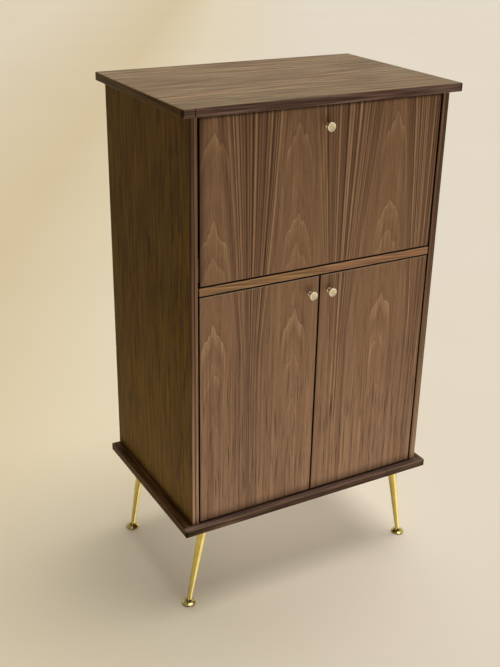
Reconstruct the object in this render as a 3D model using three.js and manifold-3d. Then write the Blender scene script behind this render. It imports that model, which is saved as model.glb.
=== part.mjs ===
// Bar cabinet on four splayed brass legs. The upper front folds down on knife hinges and two slotted
// stays to make a shelf, and two doors on knife hinges close the lower bay.
//
// Case coordinates, in millimetres: x to the right, y from the case's front face towards its back,
// z up from the floor. The last group shifts y, so that the part stands centred over its origin.
import * as THREE from "three";
import { mergeVertices } from "three/addons/utils/BufferGeometryUtils.js";
import Module from "manifold-3d";

const wasm = await Module();
wasm.setup();

// Case
const caseWidth = 610;
const caseDepth = 415;
const caseHeight = 900;
const sideThickness = 16;
const backThickness = 6;
const backRebateWidth = 8;
const deckThickness = 18;
const lowerBayHeight = 540;
const railDepth = 20;
const railEndGap = 3.5;

// Slabs above and below the case
const slabThickness = 18;
const slabSideOverhang = 21.5;
const slabFrontOverhang = 14;
const slabEase = 2;
const boardEase = 0.8;

// Flap and doors
const doorThickness = 18;
const doorSideGap = 4;
const flapSideGap = 5;
const doorEdgeGap = 3;
const doorMeetingGap = 4.3;

// Knife hinges
const pivotBehindFace = 8;
const doorPivotInset = 12;
const flapPivotInset = 11;
const leafLength = 48;
const leafWidth = 9;
const leafThickness = 3;
const hingePinRadius = 2.5;
const hingeWasherRadius = 4.2;
const hingeWasherThickness = 0.8;

// Slotted stays of the flap
const stayRadius = 150;
const stayLead = THREE.MathUtils.degToRad(40);
const flapTravel = THREE.MathUtils.degToRad(90);
const stayWidth = 16;
const stayThickness = 3;
const stayWallGap = 7;
const staySlotPlay = 0.5;
const stayPinRadius = 3;
const stayHeadRadius = 5.5;
const stayHeadThickness = 1.6;
const studShankRadius = 2;
const studShankLength = 10;
const studHeadRadius = 6;
const studHeadThickness = 2.4;
const bracketReach = 15;
const bracketWidth = 16;
const bracketHeight = 30;
const bracketThickness = 2.5;
const bracketEarRadius = 7;

// Adjustable shelf
const shelfThickness = 16;
const shelfEndGap = 1.5;
const shelfDoorClearance = 6;
const shelfBackGap = 4;
const shelfPinHeight = 254;
const shelfPinRadius = 2.5;
const shelfPinReach = 9;
const shelfPinDepth = 10;
const shelfPinFrontInset = 60;
const shelfPinBackInset = 65;
const shelfHolePitch = 32;
const shelfHoleRows = 5;

// Magnetic catches
const catchWidth = 46;
const catchDepth = 16;
const catchHeight = 14;
const catchEase = 1;
const catchFromMeeting = 34;
const strikeWidth = 38;
const strikeHeight = 8;
const strikeThickness = 1.5;
const strikeEdgeInset = 1;

// Knobs
const knobHeadRadius = 9.5;
const knobReach = 16;
const knobBaseRadius = 5.6;
const knobStemRadius = 4.6;
const knobBaseHeight = 1.6;
const knobStemHeight = 8.5;
const knobRimHeight = 4;
const knobChamfer = 0.7;
const knobDishRadius = 7;
const knobDishDepth = 0.5;
const knobBoreDepth = 11;
const knobScrewRadius = 2;
const knobScrewHeadRadius = 4;
const knobScrewHeadHeight = 2.4;
const knobScrewTipGap = 1;
const flapKnobBelowTop = 41;
const doorKnobBelowTop = 37;
const doorKnobFromMeeting = 21.9;

// Legs
const legHeight = 217;
const legTopRadius = 11.4;
const legNarrowRadius = 5.8;
const legFootRadius = 15.8;
const legFootRimHeight = 2;
const legFlareHeight = 13;
const legCollarHeight = 5;
const legGrooveDepth = 0.7;
const legGrooveHeight = 1;
const legTopInset = 43.7;
const frontFootInset = 4.3;
const backFootInset = 8.3;
const frontLegInset = 32;
const backLegInset = 44;
const legStudRadius = 4;
const legStudLength = 14;
const legPlateSize = 60;
const legPlateThickness = 3;
const glideRadius = 12;
const glideThickness = 1.5;
const glideEase = 0.4;

// Clearances and mesh steps
const seatGap = 0.2;
const runningGap = 0.3;
const overrun = 2;
const fineSides = 28;
const roundSides = 16;
const holeSides = 10;
const arcSteps = 5;
const easeSteps = 1;
const flareSteps = 6;
const flarePower = 2.4;
const coordinateCount = 3;

// Levels, planes and spans that follow from the sizes above
const LEFT = -1;
const RIGHT = 1;
const quarterTurn = Math.PI / 2;
const caseBottom = legHeight + slabThickness;
const caseTop = caseBottom + caseHeight;
const railBottom = caseBottom + lowerBayHeight;
const railTop = railBottom + deckThickness;
const innerHalfWidth = caseWidth / 2 - sideThickness;
const innerBack = caseDepth - backThickness;
const flapBottom = railTop + doorEdgeGap;
const flapTop = caseTop - doorEdgeGap;
const flapHeight = flapTop - flapBottom;
const doorBottom = caseBottom + doorEdgeGap;
const doorTop = railBottom - doorEdgeGap;
const doorHeight = doorTop - doorBottom;
const doorWidth = innerHalfWidth - doorSideGap - doorMeetingGap / 2;
const flapPivotHeight = flapBottom + flapPivotInset;
const doorPivotX = innerHalfWidth - doorSideGap - doorPivotInset;

// Finishes
const darkWalnut = { color: 0x4a3328, roughness: 0.5, metalness: 0 };
const walnutVeneer = { color: 0x75563a, roughness: 0.55, metalness: 0 };
const lightWalnut = { color: 0xa5825a, roughness: 0.55, metalness: 0 };
const paleBoard = { color: 0xb08a60, roughness: 0.7, metalness: 0 };
const polishedBrass = { color: 0xd8b45f, roughness: 0.22, metalness: 1 };
const satinBrass = { color: 0xcdb98a, roughness: 0.3, metalness: 1 };
const bronze = { color: 0x8f7448, roughness: 0.35, metalness: 1 };
const zincSteel = { color: 0xb7babd, roughness: 0.4, metalness: 1 };
const brownPlastic = { color: 0x3a2a20, roughness: 0.5, metalness: 0 };
const greyFelt = { color: 0x5c5a57, roughness: 0.95, metalness: 0 };

const sideways = new THREE.Vector3(1, 0, 0);
const backwards = new THREE.Vector3(0, 1, 0);
const upright = new THREE.Vector3(0, 0, 1);
const downwards = upright.clone().negate();

const parts = new THREE.Group();

function addPiece(name, geometry, finish, place) {
  const mesh = new THREE.Mesh(geometry, new THREE.MeshStandardMaterial(finish));
  mesh.name = name;
  mesh.position.copy(place);
  parts.add(mesh);
  return mesh;
}

// Closed mesh to solid: equal corners are merged and the flat triangles at a lathe's poles dropped.
function toSolid(geometry) {
  const bare = new THREE.BufferGeometry();
  bare.setAttribute("position", geometry.getAttribute("position"));
  bare.setIndex(geometry.getIndex());
  const merged = mergeVertices(bare);
  const corners = merged.getIndex().array;
  const kept = [];
  for (let first = 0; first < corners.length; first += coordinateCount) {
    const [a, b, c] = corners.slice(first, first + coordinateCount);
    if (a !== b && b !== c && c !== a) {
      kept.push(a, b, c);
    }
  }
  const vertProperties = Float32Array.from(merged.getAttribute("position").array);
  const triVerts = Uint32Array.from(kept);
  return new wasm.Manifold(new wasm.Mesh({ numProp: coordinateCount, vertProperties, triVerts }));
}

function toGeometry(solid) {
  const mesh = solid.getMesh();
  const geometry = new THREE.BufferGeometry();
  const positions = new THREE.BufferAttribute(mesh.vertProperties, coordinateCount);
  geometry.setAttribute("position", positions);
  geometry.setIndex(new THREE.BufferAttribute(mesh.triVerts, 1));
  geometry.computeVertexNormals();
  return geometry;
}

function join(...geometries) {
  let solid = toSolid(geometries[0]);
  for (const geometry of geometries.slice(1)) {
    solid = solid.add(toSolid(geometry));
  }
  return toGeometry(solid);
}

// The cutters are drawn in case coordinates, the blank around its own centre.
function carve(blank, centre, cutters) {
  let solid = toSolid(blank);
  for (const cutter of cutters) {
    cutter.translate(-centre.x, -centre.y, -centre.z);
    solid = solid.subtract(toSolid(cutter));
  }
  return toGeometry(solid);
}

function rectangle(width, height) {
  const shape = new THREE.Shape();
  shape.moveTo(-width / 2, -height / 2);
  shape.lineTo(width / 2, -height / 2);
  shape.lineTo(width / 2, height / 2);
  shape.lineTo(-width / 2, height / 2);
  return shape;
}

// A board lying flat around its centre, with its arrises eased.
function easedBoard(width, depth, thickness, ease) {
  const board = new THREE.ExtrudeGeometry(rectangle(width, depth), {
    depth: thickness - 2 * ease,
    bevelEnabled: true,
    bevelThickness: ease,
    bevelSize: ease,
    bevelOffset: -ease,
    bevelSegments: easeSteps,
  });
  board.translate(0, 0, ease - thickness / 2);
  return board;
}

// A board standing across the cabinet, such as a door.
function crossBoard(width, height, thickness, ease) {
  return easedBoard(width, height, thickness, ease).rotateX(quarterTurn);
}

// A board standing from front to back, such as a side.
function sideBoard(depth, height, thickness, ease) {
  return easedBoard(height, depth, thickness, ease).rotateY(quarterTurn);
}

// A block or a rod between two values along one axis, centred on a point along the others.
function blockBetween(low, high) {
  const size = high.clone().sub(low);
  const centre = high.clone().add(low).multiplyScalar(1 / 2);
  return new THREE.BoxGeometry(size.x, size.y, size.z).translate(centre.x, centre.y, centre.z);
}

function rodAlong(direction, start, length, radius, sides) {
  const rod = new THREE.CylinderGeometry(radius, radius, length, sides);
  rod.translate(0, length / 2, 0);
  const turn = new THREE.Quaternion().setFromUnitVectors(backwards, direction);
  rod.applyQuaternion(turn);
  return rod.translate(start.x, start.y, start.z);
}

// A turned piece from a profile of [radius, height] pairs, turned about z.
function turned(profile, sides) {
  const points = profile.map(([radius, height]) => new THREE.Vector2(radius, height));
  return new THREE.LatheGeometry(points, sides).rotateX(quarterTurn);
}

// Directions of a flat piece: its length, and the way its upper face looks.
function lie(lengthwise, facing) {
  const across = facing.clone().cross(lengthwise);
  return new THREE.Matrix4().makeBasis(lengthwise, across, facing);
}

function placeFlat(mesh, lengthwise, facing) {
  mesh.quaternion.setFromRotationMatrix(lie(lengthwise, facing));
  return mesh;
}

// A hinge leaf's outline: a round nose about the pivot and a straight tail.
function leafBlank(length, width, bottom, top) {
  const outline = new THREE.Shape();
  outline.moveTo(length, -width / 2);
  outline.lineTo(length, width / 2);
  outline.lineTo(0, width / 2);
  outline.absarc(0, 0, width / 2, quarterTurn, quarterTurn + Math.PI, false);
  const leaf = new THREE.ExtrudeGeometry(outline, {
    depth: top - bottom,
    bevelEnabled: false,
    curveSegments: arcSteps,
  });
  return leaf.translate(0, 0, bottom);
}

// Each knife hinge: where its axis leaves the wood of the case, the way its leaves run, the way from
// the case to the leaf of the door, and the gap between the two.
function knifeHinges() {
  const hinges = [];
  for (const [side, word] of [[LEFT, "left"], [RIGHT, "right"]]) {
    const doorRun = sideways.clone().multiplyScalar(-side);
    const doorAxis = new THREE.Vector3(side * doorPivotX, pivotBehindFace, railBottom);
    const topHinge = { name: `${word}_door_top`, mouth: doorAxis, run: doorRun };
    hinges.push({ ...topHinge, facing: downwards, gap: doorEdgeGap });
    const lowAxis = doorAxis.clone().setZ(caseBottom);
    const lowHinge = { name: `${word}_door_bottom`, mouth: lowAxis, run: doorRun };
    hinges.push({ ...lowHinge, facing: upright, gap: doorEdgeGap });
    const flapAxis = new THREE.Vector3(side * innerHalfWidth, pivotBehindFace, flapPivotHeight);
    const flapHinge = { name: `flap_${word}`, mouth: flapAxis, run: upright };
    hinges.push({ ...flapHinge, facing: doorRun, gap: flapSideGap });
  }
  return hinges;
}

const hinges = knifeHinges();

function leafPlaces(hinge) {
  const proud = (hinge.gap - hingeWasherThickness - runningGap) / 2;
  const sunk = leafThickness - proud;
  const caseSeat = hinge.mouth.clone().addScaledVector(hinge.facing, -sunk);
  const doorSeat = hinge.mouth.clone().addScaledVector(hinge.facing, hinge.gap + sunk);
  return { caseSeat, doorSeat, back: hinge.facing.clone().negate() };
}

// The recess that takes a leaf, open towards the gap.
function leafRecess(seat, run, facing) {
  const width = leafWidth + 2 * runningGap;
  const recess = leafBlank(leafLength + runningGap, width, -runningGap, leafThickness + overrun);
  return recess.applyMatrix4(lie(run, facing)).translate(seat.x, seat.y, seat.z);
}

function caseRecesses(names) {
  const chosen = hinges.filter((hinge) => names.includes(hinge.name));
  return chosen.map((hinge) => leafRecess(leafPlaces(hinge).caseSeat, hinge.run, hinge.facing));
}

function doorRecesses(names) {
  const chosen = hinges.filter((hinge) => names.includes(hinge.name));
  return chosen.map((hinge) => {
    const { doorSeat, back } = leafPlaces(hinge);
    return leafRecess(doorSeat, hinge.run, back);
  });
}

function caseLeaf() {
  const leaf = leafBlank(leafLength, leafWidth, 0, leafThickness);
  const foot = new THREE.Vector3();
  const washerHeight = leafThickness + hingeWasherThickness;
  const washer = rodAlong(upright, foot, washerHeight, hingeWasherRadius, roundSides);
  const pinLength = washerHeight + runningGap + leafThickness;
  const pin = rodAlong(upright, foot, pinLength, hingePinRadius, roundSides);
  return join(leaf, washer, pin);
}

function doorLeaf() {
  const leaf = leafBlank(leafLength, leafWidth, 0, leafThickness);
  const below = new THREE.Vector3(0, 0, -overrun);
  const holeRadius = hingePinRadius + runningGap;
  const hole = rodAlong(upright, below, leafThickness + 2 * overrun, holeRadius, roundSides);
  return carve(leaf, new THREE.Vector3(), [hole]);
}

function addHinges() {
  for (const hinge of hinges) {
    const { caseSeat, doorSeat, back } = leafPlaces(hinge);
    const fixed = addPiece(`${hinge.name}_case_leaf`, caseLeaf(), bronze, caseSeat);
    placeFlat(fixed, hinge.run, hinge.facing);
    const moving = addPiece(`${hinge.name}_moving_leaf`, doorLeaf(), bronze, doorSeat);
    placeFlat(moving, hinge.run, back);
  }
}

// The stay is an arm on a pin of the flap, at the same distance from the flap's axis as the stud of
// the case that its slot slides over, so that the arm turns by half the angle of the flap.
const flapPinLean = Math.asin((doorThickness + bracketReach - pivotBehindFace) / stayRadius);

function onStayCircle(angle) {
  const y = pivotBehindFace + stayRadius * Math.sin(angle);
  const z = flapPivotHeight + stayRadius * Math.cos(angle);
  return new THREE.Vector3(0, y, z);
}

const flapPinPoint = onStayCircle(flapPinLean);
const studPoint = onStayCircle(flapPinLean + stayLead);
const stayClosedReach = 2 * stayRadius * Math.sin(stayLead / 2);
const stayOpenReach = 2 * stayRadius * Math.sin((stayLead + flapTravel) / 2);
const stayInnerFace = stayWallGap + runningGap;
const stayOuterFace = stayInnerFace + stayThickness;
const studCollarEnd = stayOuterFace + runningGap;

function stadium(outline, start, end, radius) {
  outline.moveTo(start, -radius);
  outline.lineTo(end, -radius);
  outline.absarc(end, 0, radius, -quarterTurn, quarterTurn, false);
  outline.lineTo(start, radius);
  outline.absarc(start, 0, radius, quarterTurn, quarterTurn + Math.PI, false);
  return outline;
}

function stayArm() {
  const slotStart = stayClosedReach - staySlotPlay;
  const slotEnd = stayOpenReach + staySlotPlay;
  const outline = stadium(new THREE.Shape(), 0, slotEnd, stayWidth / 2);
  outline.holes.push(stadium(new THREE.Path(), slotStart, slotEnd, stayPinRadius + runningGap));
  const pinHole = new THREE.Path();
  pinHole.absarc(0, 0, stayPinRadius + runningGap, 0, 2 * Math.PI, false);
  outline.holes.push(pinHole);
  const options = { depth: stayThickness, bevelEnabled: false, curveSegments: arcSteps };
  return new THREE.ExtrudeGeometry(outline, options).translate(0, 0, -stayThickness / 2);
}

// A stud screwed into the side: shank, shoulder, neck that runs in the slot, and head.
function stayStud() {
  const top = studCollarEnd + studHeadThickness;
  return turned([
    [0, -studShankLength],
    [studShankRadius, -studShankLength],
    [studShankRadius, seatGap],
    [stayHeadRadius, seatGap],
    [stayHeadRadius, stayWallGap],
    [stayPinRadius, stayWallGap],
    [stayPinRadius, studCollarEnd],
    [studHeadRadius, studCollarEnd],
    [studHeadRadius, top],
    [0, top],
  ], roundSides);
}

// The flap's bracket: a plate on the flap, an ear beside the arm, and the headed pin of the arm. It
// is drawn with z from the side of the case towards the middle, and y away from the flap.
function flapBracket() {
  const foot = -bracketReach + seatGap;
  const plateLow = new THREE.Vector3(-bracketHeight / 2, foot, studCollarEnd);
  const plateHigh = new THREE.Vector3(
    bracketHeight / 2,
    foot + bracketThickness,
    studCollarEnd + bracketWidth,
  );
  const earLow = new THREE.Vector3(-bracketEarRadius, foot, studCollarEnd);
  const earEnd = studCollarEnd + bracketThickness;
  const earHigh = new THREE.Vector3(bracketEarRadius, 0, earEnd);
  const earStart = new THREE.Vector3(0, 0, studCollarEnd);
  const earRound = rodAlong(upright, earStart, bracketThickness, bracketEarRadius, roundSides);
  const headStart = new THREE.Vector3(0, 0, stayWallGap - stayHeadThickness);
  const head = rodAlong(upright, headStart, stayHeadThickness, stayHeadRadius, roundSides);
  const pin = rodAlong(upright, headStart, earEnd - headStart.z, stayPinRadius, roundSides);
  return join(blockBetween(plateLow, plateHigh), blockBetween(earLow, earHigh), earRound, pin, head);
}

function addStays() {
  const armRun = studPoint.clone().sub(flapPinPoint).normalize();
  for (const [side, word] of [[LEFT, "left"], [RIGHT, "right"]]) {
    const inward = sideways.clone().multiplyScalar(-side);
    const armMiddle = innerHalfWidth - (stayInnerFace + stayOuterFace) / 2;
    const armPlace = flapPinPoint.clone().setX(side * armMiddle);
    placeFlat(addPiece(`${word}_stay_arm`, stayArm(), zincSteel, armPlace), armRun, inward);
    const studPlace = studPoint.clone().setX(side * innerHalfWidth);
    placeFlat(addPiece(`${word}_stay_stud`, stayStud(), zincSteel, studPlace), upright, inward);
    const bracketPlace = flapPinPoint.clone().setX(side * innerHalfWidth);
    const bracket = addPiece(`${word}_stay_bracket`, flapBracket(), zincSteel, bracketPlace);
    placeFlat(bracket, upright.clone().multiplyScalar(side), inward);
  }
}

// Case
function addTopPanel() {
  const width = caseWidth + 2 * slabSideOverhang;
  const depth = caseDepth + slabFrontOverhang;
  const middle = (caseDepth - slabFrontOverhang) / 2;
  const board = easedBoard(width, depth, slabThickness, slabEase);
  addPiece("top_panel", board, darkWalnut, new THREE.Vector3(0, middle, caseTop + slabThickness / 2));
}

function legTops() {
  const tops = [];
  for (const [side, word] of [[LEFT, "left"], [RIGHT, "right"]]) {
    const x = side * (caseWidth / 2 - legTopInset);
    const rows = [
      ["front", frontLegInset, frontFootInset],
      ["back", caseDepth - backLegInset, backFootInset],
    ];
    for (const [row, y, footInset] of rows) {
      const spread = side * (legTopInset - footInset);
      tops.push({ name: `${row}_${word}`, spread, place: new THREE.Vector3(x, y, legHeight) });
    }
  }
  return tops;
}

function addBottomPanel() {
  const width = caseWidth + 2 * slabSideOverhang;
  const depth = caseDepth + slabFrontOverhang;
  const middle = (caseDepth - slabFrontOverhang) / 2;
  const centre = new THREE.Vector3(0, middle, legHeight + slabThickness / 2);
  const cutters = caseRecesses(["left_door_bottom", "right_door_bottom"]);
  for (const { place } of legTops()) {
    const start = place.clone().setZ(legHeight - overrun);
    const depthOfHole = legStudLength - legPlateThickness + overrun;
    cutters.push(rodAlong(upright, start, depthOfHole, legStudRadius + runningGap, roundSides));
  }
  const board = carve(easedBoard(width, depth, slabThickness, slabEase), centre, cutters);
  addPiece("bottom_panel", board, darkWalnut, centre);
}

function shelfPinPlaces(side) {
  const x = side * innerHalfWidth;
  const z = caseBottom + shelfPinHeight;
  return [
    { word: "front", place: new THREE.Vector3(x, shelfPinFrontInset, z) },
    { word: "back", place: new THREE.Vector3(x, innerBack - shelfPinBackInset, z) },
  ];
}

function sideCutters(side, word) {
  const cutters = caseRecesses([`flap_${word}`]);
  const outward = sideways.clone().multiplyScalar(side);
  const edge = new THREE.Vector3(side * innerHalfWidth, 0, 0).addScaledVector(outward, -overrun);
  const far = side * (innerHalfWidth + backRebateWidth);
  const rebateLow = new THREE.Vector3(Math.min(edge.x, far), innerBack - seatGap, caseBottom - overrun);
  const rebateHigh = new THREE.Vector3(Math.max(edge.x, far), caseDepth + overrun, caseTop + overrun);
  cutters.push(blockBetween(rebateLow, rebateHigh));
  const middleRow = (shelfHoleRows - 1) / 2;
  for (const { place } of shelfPinPlaces(side)) {
    for (let row = 0; row < shelfHoleRows; row += 1) {
      const z = place.z + (row - middleRow) * shelfHolePitch;
      const start = place.clone().setZ(z).addScaledVector(outward, -overrun);
      const length = overrun + shelfPinDepth + runningGap;
      cutters.push(rodAlong(outward, start, length, shelfPinRadius + runningGap, holeSides));
    }
  }
  const studStart = studPoint.clone().setX(side * innerHalfWidth).addScaledVector(outward, -overrun);
  const studDepth = overrun + studShankLength + runningGap;
  cutters.push(rodAlong(outward, studStart, studDepth, studShankRadius + runningGap, holeSides));
  return cutters;
}

function addSides() {
  for (const [side, word] of [[LEFT, "left"], [RIGHT, "right"]]) {
    const x = side * (caseWidth - sideThickness) / 2;
    const centre = new THREE.Vector3(x, caseDepth / 2, (caseBottom + caseTop) / 2);
    const blank = sideBoard(caseDepth, caseHeight - 2 * seatGap, sideThickness, boardEase);
    addPiece(`${word}_side`, carve(blank, centre, sideCutters(side, word)), walnutVeneer, centre);
  }
}

function addBackPanel() {
  const width = 2 * (innerHalfWidth + backRebateWidth - seatGap);
  const board = crossBoard(width, caseHeight - 2 * seatGap, backThickness, boardEase);
  const centre = new THREE.Vector3(0, caseDepth - backThickness / 2, (caseBottom + caseTop) / 2);
  addPiece("back_panel", board, paleBoard, centre);
}

function addDeckAndRail() {
  const level = (railBottom + railTop) / 2;
  const deckFront = railDepth + seatGap;
  const deckBack = innerBack - seatGap;
  const deckWidth = 2 * (innerHalfWidth - seatGap);
  const deck = easedBoard(deckWidth, deckBack - deckFront, deckThickness, boardEase);
  const deckCentre = new THREE.Vector3(0, (deckFront + deckBack) / 2, level);
  addPiece("bar_deck", deck, walnutVeneer, deckCentre);
  const railCentre = new THREE.Vector3(0, railDepth / 2, level);
  const railWidth = 2 * (innerHalfWidth - railEndGap);
  const railBlank = easedBoard(railWidth, railDepth, deckThickness, boardEase);
  const rail = carve(railBlank, railCentre, caseRecesses(["left_door_top", "right_door_top"]));
  addPiece("front_rail", rail, lightWalnut, railCentre);
}

function addShelf() {
  const heelSwing = Math.hypot(doorPivotInset, doorThickness - pivotBehindFace);
  const front = pivotBehindFace + heelSwing + shelfDoorClearance;
  const back = innerBack - shelfBackGap;
  const width = 2 * (innerHalfWidth - shelfEndGap);
  const bottom = caseBottom + shelfPinHeight + shelfPinRadius + runningGap;
  const board = easedBoard(width, back - front, shelfThickness, boardEase);
  const centre = new THREE.Vector3(0, (front + back) / 2, bottom + shelfThickness / 2);
  addPiece("adjustable_shelf", board, walnutVeneer, centre);
  for (const [side, word] of [[LEFT, "left"], [RIGHT, "right"]]) {
    const inward = sideways.clone().multiplyScalar(-side);
    for (const pin of shelfPinPlaces(side)) {
      const start = new THREE.Vector3(0, 0, -shelfPinDepth);
      const length = shelfPinDepth + shelfPinReach;
      const rod = rodAlong(upright, start, length, shelfPinRadius, holeSides);
      const mesh = addPiece(`shelf_pin_${word}_${pin.word}`, rod, zincSteel, pin.place);
      placeFlat(mesh, upright, inward);
    }
  }
}

// Flap and doors
function knobHole(place) {
  const start = place.clone().setY(-overrun);
  const length = doorThickness + 2 * overrun;
  return rodAlong(backwards, start, length, knobScrewRadius + runningGap, holeSides);
}

const flapKnobPlace = new THREE.Vector3(0, 0, flapTop - flapKnobBelowTop);

function doorKnobPlace(side) {
  const x = side * (doorMeetingGap / 2 + doorKnobFromMeeting);
  return new THREE.Vector3(x, 0, doorTop - doorKnobBelowTop);
}

function addFlap() {
  const width = 2 * (innerHalfWidth - flapSideGap);
  const centre = new THREE.Vector3(0, doorThickness / 2, (flapBottom + flapTop) / 2);
  const blank = crossBoard(width, flapHeight, doorThickness, boardEase);
  const cutters = [...doorRecesses(["flap_left", "flap_right"]), knobHole(flapKnobPlace)];
  addPiece("flap_door", carve(blank, centre, cutters), walnutVeneer, centre);
}

function addDoors() {
  for (const [side, word] of [[LEFT, "left"], [RIGHT, "right"]]) {
    const x = side * (doorMeetingGap + doorWidth) / 2;
    const centre = new THREE.Vector3(x, doorThickness / 2, (doorBottom + doorTop) / 2);
    const blank = crossBoard(doorWidth, doorHeight, doorThickness, boardEase);
    const recesses = doorRecesses([`${word}_door_top`, `${word}_door_bottom`]);
    const cutters = [...recesses, knobHole(doorKnobPlace(side))];
    addPiece(`${word}_door`, carve(blank, centre, cutters), walnutVeneer, centre);
  }
}

// A turned knob with a thin stem, a flat-rimmed head, a shallow dish and a blind screw hole.
function knobShape() {
  const bore = knobScrewRadius + runningGap;
  const top = knobReach - seatGap;
  const headBottom = top - knobRimHeight;
  return turned([
    [0, knobBoreDepth],
    [bore, knobBoreDepth],
    [bore, 0],
    [knobBaseRadius, 0],
    [knobBaseRadius, knobBaseHeight],
    [knobStemRadius, knobBaseHeight + knobChamfer],
    [knobStemRadius, knobStemHeight],
    [knobHeadRadius, headBottom],
    [knobHeadRadius, top - knobChamfer],
    [knobHeadRadius - knobChamfer, top],
    [knobDishRadius, top],
    [knobDishRadius - knobDishDepth, top - knobDishDepth],
    [0, top - knobDishDepth],
  ], fineSides);
}

// The screw is drawn with its head's seat at height zero and its tip below it.
function knobScrewShape() {
  const tip = -(doorThickness + knobBoreDepth - knobScrewTipGap);
  return turned([
    [0, tip],
    [knobScrewRadius, tip],
    [knobScrewRadius, 0],
    [knobScrewHeadRadius, 0],
    [knobScrewHeadRadius, knobScrewHeadHeight],
    [0, knobScrewHeadHeight],
  ], roundSides);
}

function addKnob(word, place) {
  const forwards = backwards.clone().negate();
  const knobPlace = place.clone().setY(-seatGap);
  placeFlat(addPiece(`${word}_knob`, knobShape(), satinBrass, knobPlace), upright, forwards);
  const screwPlace = place.clone().setY(doorThickness + seatGap);
  placeFlat(addPiece(`${word}_knob_screw`, knobScrewShape(), zincSteel, screwPlace), upright, backwards);
}

function addCatch(word, x, ceiling, panelTop) {
  const strikeFront = doorThickness + seatGap;
  const strikeZ = panelTop - strikeEdgeInset - strikeHeight / 2;
  const strikePlace = new THREE.Vector3(x, strikeFront + strikeThickness / 2, strikeZ);
  const strike = new THREE.BoxGeometry(strikeWidth, strikeThickness, strikeHeight);
  addPiece(`${word}_strike`, strike, zincSteel, strikePlace);
  const catchFront = strikeFront + strikeThickness + runningGap;
  const catchZ = ceiling - seatGap - catchHeight / 2;
  const catchPlace = new THREE.Vector3(x, catchFront + catchDepth / 2, catchZ);
  const body = easedBoard(catchWidth, catchDepth, catchHeight, catchEase);
  addPiece(`${word}_catch`, body, brownPlastic, catchPlace);
}

// Legs: round sections that stay level while their centres walk outwards to the floor, so that the
// foot stands flat and the top meets its plate flat.
function legShape(spread) {
  const top = legHeight - legPlateThickness - 2 * seatGap;
  const bottom = glideThickness + seatGap;
  const flareStart = bottom + legFootRimHeight;
  const profile = [[0, bottom], [legFootRadius, bottom]];
  for (let step = 0; step <= flareSteps; step += 1) {
    const share = step / flareSteps;
    const flare = (legFootRadius - legNarrowRadius) * (1 - share) ** flarePower;
    profile.push([legNarrowRadius + flare, flareStart + share * legFlareHeight]);
  }
  const collar = top - legCollarHeight;
  const waist = legTopRadius - legGrooveDepth;
  profile.push([legTopRadius, collar - legGrooveHeight]);
  profile.push([waist, collar - legGrooveHeight / 2]);
  profile.push([legTopRadius, collar], [legTopRadius, top]);
  profile.push([legStudRadius, top], [legStudRadius, top + legStudLength], [0, top + legStudLength]);
  const leg = turned(profile, fineSides);
  const splay = spread / (top - bottom);
  const points = leg.getAttribute("position");
  for (let index = 0; index < points.count; index += 1) {
    const drop = top - Math.min(points.getZ(index), top);
    points.setX(index, points.getX(index) + splay * drop);
  }
  return leg;
}

function glideShape() {
  return turned([
    [0, 0],
    [glideRadius - glideEase, 0],
    [glideRadius, glideEase],
    [glideRadius, glideThickness],
    [0, glideThickness],
  ], roundSides);
}

function addLegs() {
  const plateLevel = legHeight - seatGap - legPlateThickness / 2;
  for (const { name, spread, place } of legTops()) {
    addPiece(`${name}_leg`, legShape(spread), polishedBrass, place.clone().setZ(0));
    const platePlace = place.clone().setZ(plateLevel);
    const holeStart = platePlace.clone().setZ(plateLevel - legPlateThickness);
    const holeRadius = legStudRadius + runningGap;
    const hole = rodAlong(upright, holeStart, 2 * legPlateThickness, holeRadius, roundSides);
    const blank = easedBoard(legPlateSize, legPlateSize, legPlateThickness, boardEase);
    addPiece(`${name}_leg_plate`, carve(blank, platePlace, [hole]), polishedBrass, platePlace);
    const footPlace = place.clone().setZ(0);
    footPlace.x += spread;
    addPiece(`${name}_glide`, glideShape(), greyFelt, footPlace);
  }
}

addTopPanel();
addBottomPanel();
addSides();
addBackPanel();
addDeckAndRail();
addShelf();
addFlap();
addDoors();
addHinges();
addStays();
addKnob("flap", flapKnobPlace);
addCatch("flap", 0, caseTop, flapTop);
for (const [side, word] of [[LEFT, "left"], [RIGHT, "right"]]) {
  addKnob(word, doorKnobPlace(side));
  addCatch(word, side * catchFromMeeting, railBottom, doorTop);
}
addLegs();

parts.position.setY((knobReach - caseDepth) / 2);
const cabinet = new THREE.Group();
cabinet.add(parts);

export default cabinet;
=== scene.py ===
# %% [markdown]
# A bar cabinet in walnut veneer on four splayed brass legs. The upper front folds down to make a
# shelf, and two doors close the bay below it. The construction comes in as a fixed frame of
# separate solids, in metres, with the front towards -Y. This lesson dresses that frame: it gives
# each board and fitting its finish, and remakes the turned and rounded pieces with finer surfaces.

# %% Load the frame
import math
from functools import partial

import bmesh
import bpy
import numpy as np
from mathutils import Matrix, Vector


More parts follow.
